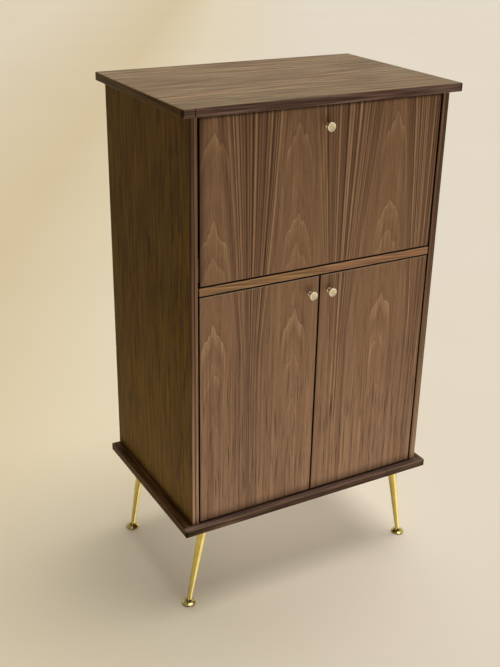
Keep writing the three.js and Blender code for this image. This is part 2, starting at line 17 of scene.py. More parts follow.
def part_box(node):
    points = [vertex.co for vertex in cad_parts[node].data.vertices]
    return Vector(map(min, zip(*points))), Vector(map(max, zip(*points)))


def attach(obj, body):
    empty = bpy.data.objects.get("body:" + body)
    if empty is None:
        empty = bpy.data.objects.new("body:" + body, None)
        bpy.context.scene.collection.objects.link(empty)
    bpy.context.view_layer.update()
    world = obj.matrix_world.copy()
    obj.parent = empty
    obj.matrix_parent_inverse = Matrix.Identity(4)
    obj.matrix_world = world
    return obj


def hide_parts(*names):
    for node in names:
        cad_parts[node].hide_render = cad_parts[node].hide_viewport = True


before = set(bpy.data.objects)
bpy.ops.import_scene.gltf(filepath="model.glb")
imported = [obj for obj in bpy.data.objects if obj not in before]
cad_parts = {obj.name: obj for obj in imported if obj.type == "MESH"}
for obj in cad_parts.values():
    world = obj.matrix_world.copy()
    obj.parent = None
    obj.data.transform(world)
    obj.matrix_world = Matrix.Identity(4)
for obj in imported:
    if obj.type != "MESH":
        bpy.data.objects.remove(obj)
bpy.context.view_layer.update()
MM = 0.001
X, Y, Z = range(3)

# %% [markdown]
# The camera stands to the left of the cabinet, a little above its top, and looks down at it. A
# long lens far away would flatten the cabinet, so the lens is worked out from how fast the
# cabinet's edges draw together in the picture. The small roll is the tilt of a camera in the hand.

# %% Camera
PICTURE_HEIGHT = 667
FOCAL_PIXELS = 998.8
SENSOR_MM = 36
EYE = Vector((-1.1073, -1.8470, 1.5274))
YAW = math.radians(29.675)
PITCH = math.radians(-24.283)
ROLL = math.radians(1.085)


def aim(yaw, pitch, roll):
    """Right, up and backward axes of a camera turned clockwise from +Y by yaw, lifted and rolled."""
    flat = math.cos(pitch)
    forward = Vector((math.sin(yaw) * flat, math.cos(yaw) * flat, math.sin(pitch)))
    level = Vector((math.cos(yaw), -math.sin(yaw), 0))
    rise = level.cross(forward)
    right = math.cos(roll) * level + math.sin(roll) * rise
    up = math.cos(roll) * rise - math.sin(roll) * level
    return Matrix((right, up, -forward)).transposed()


lens = bpy.data.cameras.new("camera")
lens.sensor_width = SENSOR_MM
lens.lens = FOCAL_PIXELS / PICTURE_HEIGHT * SENSOR_MM
camera = bpy.data.objects.new("camera", lens)
camera.matrix_world = Matrix.Translation(EYE) @ aim(YAW, PITCH, ROLL).to_4x4()
bpy.context.scene.collection.objects.link(camera)
bpy.context.scene.camera = camera
bpy.context.scene.view_settings.view_transform = "Standard"
print("camera: lens", round(lens.lens, 2), "mm")

# %% [markdown]
# Every finish is a tree of nodes. One small function adds a node of any kind, gives it its
# settings, and fills its sockets with values or with links from other nodes. It gives back an
# output of the node, so that a line reads like a sum. Math does sums, MapRange carries a value from
# one span of numbers to another, Mix blends two colours, and ValToRGB is a ramp that turns a tone
# into colours. Hex colours, which a painter would pick on a screen, are turned into the linear
# light that the renderer counts in.

# %% Helpers for finishes
# What every node of a kind gets: a noise is sized by the place that it reads, and a mix is of
# colours. A second word in a kind, as in "Math MULTIPLY", is for the setting named here.
ALWAYS = {"TexNoise": {"Scale": 1}, "Mix": {"data_type": "RGBA"}}
MODES = {"Math": "operation", "VectorMath": "operation", "Mix": "blend_type"}


def linear(hex_colour):
    """An sRGB hex colour as linear light: below 0.04045 a straight line, above it a power of 2.4."""
    parts = [int(hex_colour[i : i + 2], 16) / 255 for i in (1, 3, 5)]
    light = [p / 12.92 if p <= 0.04045 else ((p + 0.055) / 1.055) ** 2.4 for p in parts]
    return (*light, 1.0)


def feed(node, *values, **named):
    """Fill a node's sockets, in order or by name, with numbers, hex colours or links."""
    pairs = [*zip([socket for socket in node.inputs if socket.enabled], values)]
    pairs += [(node.inputs[name.replace("_", " ")], value) for name, value in named.items()]
    for socket, value in pairs:
        if isinstance(value, bpy.types.NodeSocket):
            node.id_data.links.new(value, socket)
        else:
            socket.default_value = linear(value) if isinstance(value, str) else value


def add_node(tree, kind, *values, stops=(), out=None, **choices):
    """Add one node and give back its first output in use, or the output that out names.

    The values fill its sockets in order. A choice with a capital fills the socket of that name, any
    other is one of the node's settings, and stops are those of its ramp: places, with a hex colour
    or a number each.
    """
    kind, *mode = kind.split()
    made = tree.nodes.new("ShaderNode" + kind)
    choices = ALWAYS.get(kind, {}) | {MODES[kind]: word for word in mode} | choices
    named = {name: value for name, value in choices.items() if name[0].isupper()}
    for name, value in choices.items():
        if name not in named:
            setattr(made, name, value)
    for index, (place, tone) in enumerate(stops):
        elements = made.color_ramp.elements
        stop = elements[index] if index < 2 else elements.new(place)
        stop.position = place
        stop.color = linear(tone) if isinstance(tone, str) else (tone, tone, tone, 1)
    feed(made, *values, **named)
    return made.outputs[out] if out else next(socket for socket in made.outputs if socket.enabled)


def start_finish(name, **values):
    """A new material, the function that puts nodes in it, and its shader with plain values."""
    material = bpy.data.materials.new(name)
    material.use_nodes = True
    shader = material.node_tree.nodes["Principled BSDF"]
    feed(shader, **values)
    return material, partial(add_node, material.node_tree), shader


def finish_surface(put, shader, colour, roughness, height, relief):
    """Give the shader its colour, its roughness and a height. Relief is a strength and a depth in mm."""
    strength, depth = relief
    normal = put("Bump", strength, depth * MM, Height=height)
    feed(shader, Base_Color=colour, Roughness=roughness, Normal=normal)


def scaled_place(put, sizes, shift=(0, 0, 0)):
    """Object coordinates counted in real sizes, in mm, one for each axis."""
    spot = put("TexCoord", out="Object")
    return put("Mapping", spot, Location=shift, Scale=[1 / (size * MM) for size in sizes])


def ramped(put, value, span, stops):
    """What the stops of a ramp give for a value's place in a span of numbers."""
    return put("ValToRGB", put("MapRange", value, *span), stops=stops)


def place_in_mm(put):
    """The three Object coordinates, each in mm."""
    place = scaled_place(put, (1, 1, 1))
    return [put("SeparateXYZ", place, out=axis) for axis in "XYZ"]


def grain_place(put, along, width, length, shift=0):
    """A place in wood: one unit is width mm across the grain and length mm along axis X, Y or Z.

    The shift starts the pattern somewhere else, so that no two boards are alike.
    """
    sizes = [width] * 3
    sizes[along] = length
    return scaled_place(put, sizes, (shift, shift, shift))


def grain_noise(put, along, size, detail, shift=0, **more):
    """Noise along a grain: its width and length in mm, its finer detail, and its shift."""
    return put("TexNoise", grain_place(put, along, *size, shift), Detail=detail, **more)


print("helpers: ready")

# %% [markdown]
# The floor is one wide pale sheet, large enough to fill the picture to its top edge. A soft sun
# stands for the daylight that falls from above and from the right: its wide angle gives the faint
# shadow under the cabinet and to its left. The world stands for the room, with bright walls behind
# and on the right, and darkness in front and on the left. Cards lying on the floor in front and on
# the left throw light up, so the doors are lit more than the flap above them. A weak fill under the
# cabinet stands for the light that a wall close behind it would throw there.
#
# Polished metal has no look of its own, because it shows what it mirrors. An upright leg seen from
# above mirrors the floor, so a small bright card lies on the floor by each leg, and a tall window
# stands on the left for the knobs. They show in shiny parts only and light nothing.

# %% Floor and light
FLOOR_HALF_WIDTH = 40
FLOOR_DROP = 0.1 * MM
FLOOR_MOTTLE = 900
FLOOR_PAINT = ((0.3, "#e8e2d4"), (0.7, "#eae4d7"))
# Painted shade: darker and warmer on the left. The tint runs across it, in metres from the cabinet.
FLOOR_TINT_WAY, FLOOR_TINT_SPAN = (0.869, -0.495, 0), (-2.6, 0.8)
FLOOR_SHADE_TINTS = (
    (0, "#faf6ec"), (0.42, "#efe4ca"), (0.6, "#fcf8ea"), (0.85, "#fefcfa"), (1, "#ffffff"),
)
ROOM_COLOUR, ROOM_CONTRAST = "#fff8ee", 3
ROOM_TOWARDS = Vector((0.6, 0.6, 0.5)).normalized()
DAY_FROM = Vector((0.5, -0.1, 2.3)).normalized()
DAY_COLOUR, DAY_STRENGTH, DAY_ANGLE = "#fffaf2", 1.75, math.radians(40)

# A card has a power in watts, a width, a depth and a middle in metres, and the way to its back.
BELOW, ABOVE = (0, 0, -1), (0, 0, 1)
CARDS = {
    "low_card": (12, 1.6, 1.1, (0.3, -0.85, 0.01), BELOW),
    "side_card": (2.6, 0.7, 0.6, (-0.85, 0, 0.01), BELOW),
    "fill": (0.44, 0.6, 0.4, (0, 0, 0.205), ABOVE),
    "window": (10, 0.5, 1.6, (-2.6, -1.7, 0.9), (-2.6, -1.7, 0)),
}
GLINT_POWER, GLINT_LEVEL = 2.5, 0.005
GLINTS = {"front_left": (-0.3, -0.17, 0.3), "front_right": (0.3, -0.17, 0.3)}
GLINTS |= {"back_left": (-0.3, 0.17, 0.22), "back_right": (0.3, 0.17, 0.22)}
for leg, (x, y, size) in GLINTS.items():
    middle = (x + size / 2, y - size / 2, GLINT_LEVEL)
    CARDS[f"{leg}_glint"] = (GLINT_POWER * size**2, size, size, middle, BELOW)

floor_corners = FLOOR_HALF_WIDTH * np.array([(-1, -1, 0), (1, -1, 0), (1, 1, 0), (-1, 1, 0)], float)
floor_mesh = bpy.data.meshes.new("floor")
floor_mesh.from_pydata((floor_corners - (0, 0, FLOOR_DROP)).tolist(), [], [(0, 1, 2, 3)])
floor = bpy.data.objects.new("floor", floor_mesh)
bpy.context.scene.collection.objects.link(floor)

floor_paint, put, shader = start_finish("painted_studio_floor", Roughness=0.6, Specular_IOR_Level=0.15)
mottle = put("TexNoise", scaled_place(put, [FLOOR_MOTTLE] * 3), Detail=2.0)
paint = put("ValToRGB", mottle, stops=FLOOR_PAINT)
across = put("TexCoord", out="Object")
across = put("VectorMath DOT_PRODUCT", across, FLOOR_TINT_WAY)
tint = ramped(put, across, FLOOR_TINT_SPAN, FLOOR_SHADE_TINTS)
feed(shader, Base_Color=put("Mix MULTIPLY", 1.0, paint, tint))
floor_mesh.materials.append(floor_paint)

world = bpy.data.worlds.new("room")
world.use_nodes = True
in_room = partial(add_node, world.node_tree)
nearness = in_room("TexCoord", out="Generated")
nearness = in_room("VectorMath DOT_PRODUCT", nearness, ROOM_TOWARDS)
nearness = in_room("MapRange", nearness, -1.0)
nearness = in_room("Math POWER", nearness, ROOM_CONTRAST)
feed(world.node_tree.nodes["Background"], Color=ROOM_COLOUR, Strength=nearness)
bpy.context.scene.world = world

day = bpy.data.lights.new("day", "SUN")
day.energy, day.angle = DAY_STRENGTH, DAY_ANGLE
lights = [(day, (0, 0, 0), DAY_FROM)]
for name, (power, width, depth, middle, back) in CARDS.items():
    card = bpy.data.lights.new(name, "AREA")
    card.energy, card.shape = power, "RECTANGLE"
    card.size, card.size_y = width, depth
    lights.append((card, middle, back))
for light, middle, back in lights:
    light.color = linear(DAY_COLOUR)[:3]
    lamp = bpy.data.objects.new(light.name, light)
    lamp.rotation_mode = "QUATERNION"
    lamp.rotation_quaternion = Vector(back).to_track_quat("Z", "Y")
    lamp.location = middle
    for_shine = light.name == "window" or light.name.endswith("_glint")
    lamp.visible_camera = False
    lamp.visible_diffuse = not for_shine
    lamp.visible_glossy = for_shine or light.name == "day"
    bpy.context.scene.collection.objects.link(lamp)
print("stage: floor, room, daylight and", len(CARDS), "cards")

# %% [markdown]
# Wood shows four things at once: growth rings, streaks of colour along them, fine fibres, and
# pores, which are short dark dashes in walnut. Each is one pattern, as long and as wide as in the
# real wood. Their tones are added up, and a ramp turns the sum into colours. Real pores are only
# 0.2 mm wide and fibres are finer still, too fine for the picture. So pores are drawn about six
# times as coarse, and fibres as bundles of 2.4 mm.

# %% Helpers for wood
# The width and length of each pattern in mm, and how much finer detail it holds. Other patterns
# below have their shift as well.
WOOD = {"fibre": ((2.4, 150), 2), "streak": ((7, 900), 3), "patch": ((80, 500), 1)}
WOOD["pore"] = ((1.2, 22), 1)
DRIFT_DETAIL, DRIFT_SHIFT, DRIFT_TONES = 2, 5.7, (0.38, 0.62)
PORE_TONES = (0.64, 0.72)
RELIEF_WEIGHTS = {"fibre": 0.5, "pore": -0.8}
GRAIN_RELIEF = (0.4, 0.12)
FIBRE_TONES, SATIN = (0.3, 0.7), (0.46, 0.6)


def wood_tones(put, along, shift=0):
    """Fibre, streak, patch and pore tones of wood whose grain runs along axis X, Y or Z."""
    tones = {name: grain_noise(put, along, *pattern, shift) for name, pattern in WOOD.items()}
    tones["pore"] = put("MapRange", tones["pore"], *PORE_TONES)
    return tones


def add_tones(put, tones, weights, middle=0.5):
    """Middle tone plus the distance from one half of each tone that has a weight, times its weight."""
    total = middle - sum(weights.values()) / 2
    for name, weight in weights.items():
        total = put("Math MULTIPLY_ADD", tones[name], weight, total)
    return total


def finish_wood(put, shader, colour, tones, gloss=SATIN):
    """Colour, a roughness that follows the fibres, and the relief of fibres and pores."""
    roughness = put("MapRange", tones["fibre"], *FIBRE_TONES, *gloss)
    height = add_tones(put, tones, RELIEF_WEIGHTS)
    finish_surface(put, shader, colour, roughness, height, GRAIN_RELIEF)


def facing(put, axis, low=0.4, high=0.6, either=True):
    """How far a face looks along an axis: 0 below low, 1 above high. Either counts both ways."""
    along = put("SeparateXYZ", put("TexCoord", out="Normal"), out="XYZ"[axis])
    if either:
        along = put("Math ABSOLUTE", along)
    return put("MapRange", along, low, high)


def tinted(put, colour, *tints):
    """A colour multiplied by one tint or tone after another."""
    for tint in tints:
        colour = put("Mix MULTIPLY", 1.0, colour, tint)
    return colour


def drifting(put, colour, along, width, length, cool, warm):
    """A colour that drifts between two tints from place to place, as heartwood does."""
    drift = grain_noise(put, along, (width, length), DRIFT_DETAIL, DRIFT_SHIFT)
    return tinted(put, colour, put("ValToRGB", drift, stops=zip(DRIFT_TONES, (cool, warm))))


def dress(material, *nodes):
    """Give a finish to nodes of the frame."""
    for node in nodes:
        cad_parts[node].material_slots[0].material = material


print("wood:", ", ".join(WOOD))

# %% [markdown]
# Crown-cut veneer is sliced across the side of a log. Each slice cuts the cone of every growth ring
# in a pointed arch, the figure that makers call a cathedral, and between two rows of arches the
# rings run almost upright. The formula draws it as a map of heights: the distance to the nearest
# row of arches, raised to a power, is how far a ring has dropped below its peak. A ring is then a
# line of equal height. Lower down the arches grow narrower, as they do towards the butt of a log.

# %% Crown-cut figure
# All in mm. A row of four numbers carries a value from one span to another, such as a depth of
# 500 to 900 to a narrowing of 1 to 2.6.
CABINET_TOP = 1153
ARCH_SLOPE = 1.2
SPIRE_HALF_WIDTH, SPIRE_DROP = 8, 12
ARCH_HALF_WIDTH, ARCH_DROP, ARCH_POWER = 30, 22, 6
NARROWING = (500, 900, 1, 2.6)
SWAY, SWAY_SIZE = 20, (170, 700)
KINK_REACH, KINK_SIZE = (8, 45, 50, 20), (11, 100)
ROW_BLEND = 14


def noise_about_zero(put, place, detail, dimensions="3D"):
    """Noise that goes from about -0.5 to 0.5."""
    value = put("TexNoise", place, Detail=detail, noise_dimensions=dimensions)
    return put("Math SUBTRACT", value, 0.5)


def crown_figure(put, across, centres):
    """Height of the ring that passes a point, in mm below the top, and the distance to the arches.

    Distance d is the least of |a - centre| over the rows of arches, where a is the place across the
    grain with a slow sway. A ring drops by 1.2 d + 22 (d / 30)^6, and by 12 mm more just beside the
    middle: a spire, round shoulders, then steep flanks. Low down d counts for more, which makes the
    arches narrower. Small kinks in the height give each arch its ragged tip.
    """
    spot = place_in_mm(put)
    slow = noise_about_zero(put, grain_place(put, Z, *SWAY_SIZE), 0)
    side = put("Math MULTIPLY_ADD", slow, SWAY, spot[across])
    nearest = None
    for centre in centres:
        away = put("Math ABSOLUTE", put("Math SUBTRACT", side, centre))
        if nearest is not None:
            away = put("Math SMOOTH_MIN", nearest, away, ROW_BLEND)
        nearest = away
    depth = put("Math SUBTRACT", CABINET_TOP, spot[Z])
    narrow = put("MapRange", depth, *NARROWING)
    nearest = put("Math MULTIPLY", nearest, narrow)
    steep = put("Math POWER", put("Math DIVIDE", nearest, ARCH_HALF_WIDTH), ARCH_POWER)
    height = put("Math MULTIPLY_ADD", nearest, -ARCH_SLOPE, depth)
    height = put("Math MULTIPLY_ADD", steep, -ARCH_DROP, height)
    spire = put("MapRange", nearest, 0, SPIRE_HALF_WIDTH, 0, SPIRE_DROP)
    height = put("Math SUBTRACT", height, spire)
    kinks = noise_about_zero(put, grain_place(put, Z, *KINK_SIZE), 1)
    reach = put("MapRange", nearest, *KINK_REACH)
    height = put("Math MULTIPLY_ADD", kinks, reach, height)
    return height, nearest, depth, side


def crisp_lines(put, place, detail, sharpness):
    """Growth lines: noise along one number, made crisp by steepening it about its middle."""
    lines = noise_about_zero(put, place, detail, "1D")
    return put("Math MULTIPLY_ADD", lines, sharpness, 0.5, use_clamp=True)


def fade_tone(put, tone, factor):
    """Bring a tone towards one half where the factor falls to 0."""
    off = put("Math SUBTRACT", tone, 0.5)
    return put("Math MULTIPLY_ADD", off, factor, 0.5)


print("crown-cut figure: arches", 2 * ARCH_HALF_WIDTH, "mm wide at their shoulders")

# %% [markdown]
# On the front some rings show far more than others, so their peaks are set one by one. Between two
# rows of arches lies a valley of almost upright lines, which draw together downwards like the ribs
# of a fan. The lines and the broader bands fade towards the arches, and low down on the doors they
# give way to streaks and short dark dashes.
#
# Light and shade are painted on the wood here. A painted highlight runs along the upper edge of each
# door, and painted shade darkens the flap under the slab and at its left end, and the foot of each door.
# The narrow edges are painted near black as shade, so that the gaps between the fronts look deep.

# %% Front veneer
FRONT_ARCHES = (-252, -62, 168, 378)
PEAKS = ((48, 0.8), (230, 0.9), (298, 0.7), (447, 1.0), (540, 0.7), (650, 0.4))
PEAK_SHAPE = ((-14, 0.0), (-2, -0.16), (1, 0.5), (5, 0.2), (36, 0.0))
PEAK_RANGE = (-100, 800)
VALLEY_CENTRE, VALLEY_SPACING = 53, 215
VALLEY_HALF = (20, 520, 74, 26)
LINES_PER_HALF, BANDS_PER_LINE = 12, 0.31
RING_SPACING = 34
DASHES, DASH_TONES = ((3, 110), 1, 8.6), (0.58, 0.68)

# How each tone fades away from the arches, across a valley in half widths, or down the front.
PEAK_FADE, RING_FADE = (34, 56, 1, 0), (30, 44, 1, 0)
LINE_FADE, BAND_FADE, VALLEY_TONES = (0.7, 1.2, 1, 0.1), (1, 1.5, 1, 0.2), (0.3, 1.5, 0.32, 0.62)
LINES_DOWN, STREAKS_DOWN, DASHES_DOWN = (450, 800, 1, 0.4), (380, 700, 0.6, 1.5), (430, 700)
FRONT_WEIGHTS = {"peaks": 0.5, "lines": 0.46, "bands": 0.15, "rings": 0.06, "valley": 0.38}
FRONT_WEIGHTS |= {"streak": 0.34, "fibre": 0.42, "patch": 0.12, "pore": -0.12, "dashes": -0.3}
FRONT_MIDDLE = 0.36
FRONT_COLOURS = (
    (0.05, "#372418"), (0.3, "#583d2a"), (0.5, "#74563e"), (0.7, "#8e6d50"), (0.95, "#b89674"),
)
# Painted shade: the narrow edges of the fronts and the rail are near black, so the gaps look deep.
GAP_SHADE_COLOURS = ((0.35, "#150e0a"), (0.65, "#2a1c14"))

# Painted shade: over which mm each band runs, and how much light it leaves along the way.
FLAP_END = (-284, -264), (
    (0, 0.38), (0.2, 0.55), (0.33, 0.66), (0.45, 0.8), (0.7, 0.86), (0.85, 0.97), (1, 1),
)
UNDER_SLAB = (1092, 1132), ((0.6, 1), (0.82, 0.95), (0.87, 0.8), (0.91, 0.5), (0.95, 0.3), (1, 0.25))
ABOVE_FOOT = (238, 262), ((0, 0.5), (0.08, 0.55), (0.13, 0.83), (0.5, 0.86), (0.75, 0.95), (1, 1))
# A painted highlight along the upper edge of each door.
DOOR_TOP, DOOR_ARRIS_LIGHT = 772, "#b3a294"
ARRIS_LIGHT_STOPS = ((0.1, 0), (0.6, 0.55), (1, 0.55))
FLAP_ABOVE = DOOR_TOP + 20


def peak_stops():
    """Ramp stops over the range of heights: darker before a peak, a light line on it, then fading."""
    low, high = PEAK_RANGE
    stops = [(0.0, 0.5)]
    for height, strength in PEAKS:
        for shift, tone in PEAK_SHAPE:
            stops.append(((height + shift - low) / (high - low), 0.5 + strength * tone))
    return stops


def valley_place(put, side, depth):
    """Place between two rows of arches, from -1 to 1, and a number that differs from leaf to leaf.

    The distance from the middle of the valley is divided by the half width there, which shrinks
    with depth, so that lines of equal place draw together downwards like the ribs of a fan.
    """
    offset = put("Math SUBTRACT", side, VALLEY_CENTRE)
    half = VALLEY_SPACING / 2
    away = put("Math WRAP", offset, half, -half)
    leaf = put("Math SUBTRACT", offset, away)
    width = put("MapRange", depth, *VALLEY_HALF)
    return put("Math DIVIDE", away, width), leaf


def front_figure(put, tones):
    """The whole figure of the front as one tone: arches, the lines of the valleys, and fine grain."""
    height, nearest, depth, side = crown_figure(put, X, FRONT_ARCHES)
    place, leaf = valley_place(put, side, depth)
    inside = put("Math ABSOLUTE", place)
    fan = put("Math MULTIPLY_ADD", place, LINES_PER_HALF, leaf)
    broad = put("Math MULTIPLY", fan, BANDS_PER_LINE)
    rings = put("Math DIVIDE", height, RING_SPACING)
    peaks = ramped(put, height, PEAK_RANGE, peak_stops())
    lower = put("MapRange", depth, *LINES_DOWN)
    reach = put("Math MULTIPLY", put("MapRange", inside, *LINE_FADE), lower)
    faded = {
        "peaks": (peaks, put("MapRange", nearest, *PEAK_FADE)),
        "lines": (crisp_lines(put, fan, 0.7, 4), reach),
        "bands": (crisp_lines(put, broad, 0, 2.4), put("MapRange", inside, *BAND_FADE)),
        "rings": (crisp_lines(put, rings, 1, 2), put("MapRange", nearest, *RING_FADE)),
        "valley": (put("MapRange", inside, *VALLEY_TONES), lower),
        "streak": (tones["streak"], put("MapRange", depth, *STREAKS_DOWN)),
    }
    figure = {name: fade_tone(put, tone, factor) for name, (tone, factor) in faded.items()}
    dashes = put("MapRange", grain_noise(put, Z, *DASHES), *DASH_TONES)
    low_down = put("MapRange", depth, *DASHES_DOWN)
    figure["dashes"] = put("Math MULTIPLY", dashes, low_down)
    return add_tones(put, tones | figure, FRONT_WEIGHTS, FRONT_MIDDLE)


def with_painted_light(put, colour):
    """Painted shade on the outer faces of the flap and doors, and a painted highlight on the doors'
    upper edge.
    """
    x, _, z = place_in_mm(put)
    # Painted shade bands: at the flap's left end, under the slab, and at the foot of each door.
    pairs = zip((x, z, z), (FLAP_END, UNDER_SLAB, ABOVE_FOOT))
    painted_shades = [ramped(put, place, *painted_shade) for place, painted_shade in pairs]
    on_doors = put("Math LESS_THAN", z, FLAP_ABOVE)
    painted_shades[0] = put("MapRange", on_doors, 0, 1, painted_shades[0], 1)
    inner_face = facing(put, Y, -0.6, -0.4, either=False)
    colour = tinted(put, colour, *(put("MapRange", inner_face, 0, 1, painted_shade, 1) for painted_shade in painted_shades))
    # Painted highlight on the upper edge of each door.
    arris_light = ramped(put, z, (DOOR_TOP - 2, DOOR_TOP), ARRIS_LIGHT_STOPS)
    below = put("Math LESS_THAN", z, DOOR_TOP + 1)
    return put("Mix", put("Math MULTIPLY", arris_light, below), colour, DOOR_ARRIS_LIGHT)


def front_veneer():
    """Crown-cut walnut veneer under a satin oil, for the flap and the two doors."""
    material, put, shader = start_finish("walnut_veneer_crown_cut", IOR=1.5, Specular_IOR_Level=0.15)
    tones = wood_tones(put, Z)
    broad = with_painted_light(put, put("ValToRGB", front_figure(put, tones), stops=FRONT_COLOURS))
    # Painted shade on the narrow edges, so the gaps between the fronts look deep.
    edge = put("ValToRGB", tones["streak"], stops=GAP_SHADE_COLOURS)
    finish_wood(put, shader, put("Mix", facing(put, Y), edge, broad), tones)
    return material


dress(front_veneer(), "flap_door", "left_door", "right_door")
print("front veneer: arches at", FRONT_ARCHES)

# %% [markdown]
# The sides wear the same veneer, but their leaves are cut straighter, so the figure is quieter, and
# their colours are darker, partly as painted shade. The front edge of each side is a strip of solid
# walnut, with stripes that run its whole height, and on the inner face the part that lines the gap
# beside the doors is painted near black as shade. Both are painted lighter low down, as light thrown up
# from the floor, and the strip's arrises carry a painted highlight and painted shade. One material does
# it all: the way a face looks tells the edge from the broad face.

# %% Side veneer with its front edge
SIDE_ARCHES = (-144, 110)
SIDE_OUTER, SIDE_INNER = 305, 289
CASE_FRONT, LINING_BACK = -199.5, -181
SIDE_RING_SPACING, SIDE_RING_FADE = 60, (25, 45, 1, 0)
CLOUDS, SIDE_DASHES, SIDE_DASH_TONES = ((11, 130), 4, 1.9), ((4, 70), 1, 8.6), (0.6, 0.72)
SIDE_WEIGHTS = {"rings": 0.1, "clouds": 0.55, "streak": 0.26, "fibre": 0.45, "dashes": -0.28}
SIDE_MIDDLE = 0.43
# Darker than the front's colours, partly as painted shade of the sides, which face away from the light.
SIDE_COLOURS_SHADED = (
    (0.05, "#1f1608"), (0.35, "#3e2c10"), (0.5, "#523b15"), (0.65, "#644c1c"), (0.95, "#84672f"),
)
SIDE_DRIFT = (60, 220, "#fafbee", "#fff5e8")
# Painted light: the broad faces turn paler low down, as light thrown up from the floor.
LOW_PAINTED_LIGHT, LOW_PAINTED_LIGHT_SPAN = "#8f7450", (450, 950, 0, 0.13)
CORNER_SHADE = (CASE_FRONT, CASE_FRONT + 4, 0.45, 1)
# Painted shade: near black where the inner face lines the gap beside the doors.
LINING_SHADE = "#22160f"

STRIPES = (3.4, 1500), 2, 3.1
STRIP_WEIGHTS = {"stripes": 1.4, "fibre": 0.4, "low_down": 0.6}
# Painted light: the strip turns paler low down, a little less on the right.
STRIP_LOW_LIGHT, STRIP_LOW_LIGHT_RIGHT = (350, 800, 0.45, 0.75), 0.8
STRIP_COLOURS = ((0.1, "#36261e"), (0.4, "#634a39"), (0.6, "#81654e"), (0.95, "#ab9074"))
# Painted highlight on the inner arris and painted shade on the outer one, both stronger on the left
# strip.
RIGHT_ARRIS_LIGHT = ((0, 0.66), (0.08, 0.58), (0.14, 0.5), (0.86, 0.5), (0.95, 0.2), (1, 0.3))
LEFT_ARRIS_LIGHT = ((0, 1), (0.1, 0.9), (0.18, 0.5), (0.84, 0.5), (0.92, 0.1), (1, 0.1))


def front_strip(put, tones, depth, x, out):
    """Striped walnut, painted lighter low down, with a painted highlight on the inner arris and painted
    shade on the outer.
    """
    on_left = put("Math LESS_THAN", x, 0)
    # Painted light from the floor: paler low down, less so on the right strip.
    share = put("MapRange", on_left, 0, 1, STRIP_LOW_LIGHT_RIGHT)
    low_down = put("Math MULTIPLY", put("MapRange", depth, *STRIP_LOW_LIGHT), share)
    stripes = grain_noise(put, Z, *STRIPES)
    tone = add_tones(put, tones | {"stripes": stripes, "low_down": low_down}, STRIP_WEIGHTS)
    colour = put("ValToRGB", tone, stops=STRIP_COLOURS)
    across = (SIDE_INNER, SIDE_OUTER)
    shades = [ramped(put, out, across, stops) for stops in (RIGHT_ARRIS_LIGHT, LEFT_ARRIS_LIGHT)]
    return put("Mix SOFT_LIGHT", 1.0, colour, put("Mix", on_left, *shades))


def side_veneer():
    """Quiet walnut veneer on the broad faces, and striped solid walnut on the front edge."""
    material, put, shader = start_finish("walnut_veneer_side", IOR=1.5, Specular_IOR_Level=0.03)
    tones = wood_tones(put, Z, 7.3)
    height, nearest, depth, _ = crown_figure(put, Y, SIDE_ARCHES)
    rings = put("Math DIVIDE", height, SIDE_RING_SPACING)
    faded = put("MapRange", nearest, *SIDE_RING_FADE)
    dashes = grain_noise(put, Z, *SIDE_DASHES)
    figure = {
        "rings": fade_tone(put, crisp_lines(put, rings, 1, 2), faded),
        "clouds": grain_noise(put, Z, *CLOUDS),
        "dashes": put("MapRange", dashes, *SIDE_DASH_TONES),
    }
    tone = add_tones(put, tones | figure, SIDE_WEIGHTS, SIDE_MIDDLE)
    broad = drifting(put, put("ValToRGB", tone, stops=SIDE_COLOURS_SHADED), Z, *SIDE_DRIFT)
    # Painted light from the floor: paler low down.
    broad = put("Mix", put("MapRange", depth, *LOW_PAINTED_LIGHT_SPAN), broad, LOW_PAINTED_LIGHT)
    x, y, _ = place_in_mm(put)
    out = put("Math ABSOLUTE", x)
    # Painted shade in the gap beside the doors.
    lining_shade = put("MapRange", y, LINING_BACK, LINING_BACK - 1)
    inner = put("Math LESS_THAN", out, SIDE_OUTER - 1)
    broad = put("Mix", put("Math MULTIPLY", lining_shade, inner), broad, LINING_SHADE)
    broad = tinted(put, broad, put("MapRange", y, *CORNER_SHADE))
    edge = front_strip(put, tones, depth, x, out)
    finish_wood(put, shader, put("Mix", facing(put, Y), broad, edge), tones)
    return material


dress(side_veneer(), "left_side", "right_side")
print("side veneer: arches at", SIDE_ARCHES)

# %% [markdown]
# The two slabs are veneered with the grain from left to right, and lipped with strips of dark walnut
# that meet in mitres at the corners, painted darker there as shade. On the lower slab the strips are
# wide, so they show on its broad face outside the case, and the top of its front edge gets a painted
# highlight, as do the upper rounded arrises of both slabs. The rail between flap and doors is a paler,
# sappy strip in two lengths, with lines that slope a little because the strip was sawn across the grain.

# %% Slabs
# For each slab: its material's name, the colours of its broad faces, of its front edge and of its side
# edges, where its front strip is joined in mm, and how strong the painted highlight on top of its front
# edge is; above 0 the lipping strips also show on the broad face.
SLABS = {
    "top_panel": (
        "walnut_slab_top",
        ((0.1, "#443523"), (0.38, "#6c573f"), (0.52, "#866f54"), (0.66, "#9b8666"), (0.92, "#c7b08a")),
        ((0.3, "#412d27"), (0.5, "#5f4840"), (0.7, "#836b61")),
        ((0.33, "#3a2a0f"), (0.5, "#4d3816"), (0.67, "#604823")),
        -299,
        0,
    ),
    "bottom_panel": (
        "walnut_slab_bottom",
        ((0.1, "#261a10"), (0.38, "#453220"), (0.52, "#59432c"), (0.66, "#6a5238"), (0.92, "#8a6f50")),
        ((0.3, "#21160f"), (0.5, "#3c2a1f"), (0.7, "#644c3c")),
        ((0.33, "#281905"), (0.5, "#402a0f"), (0.67, "#59401f")),
        213,
        0.2,
    ),
}
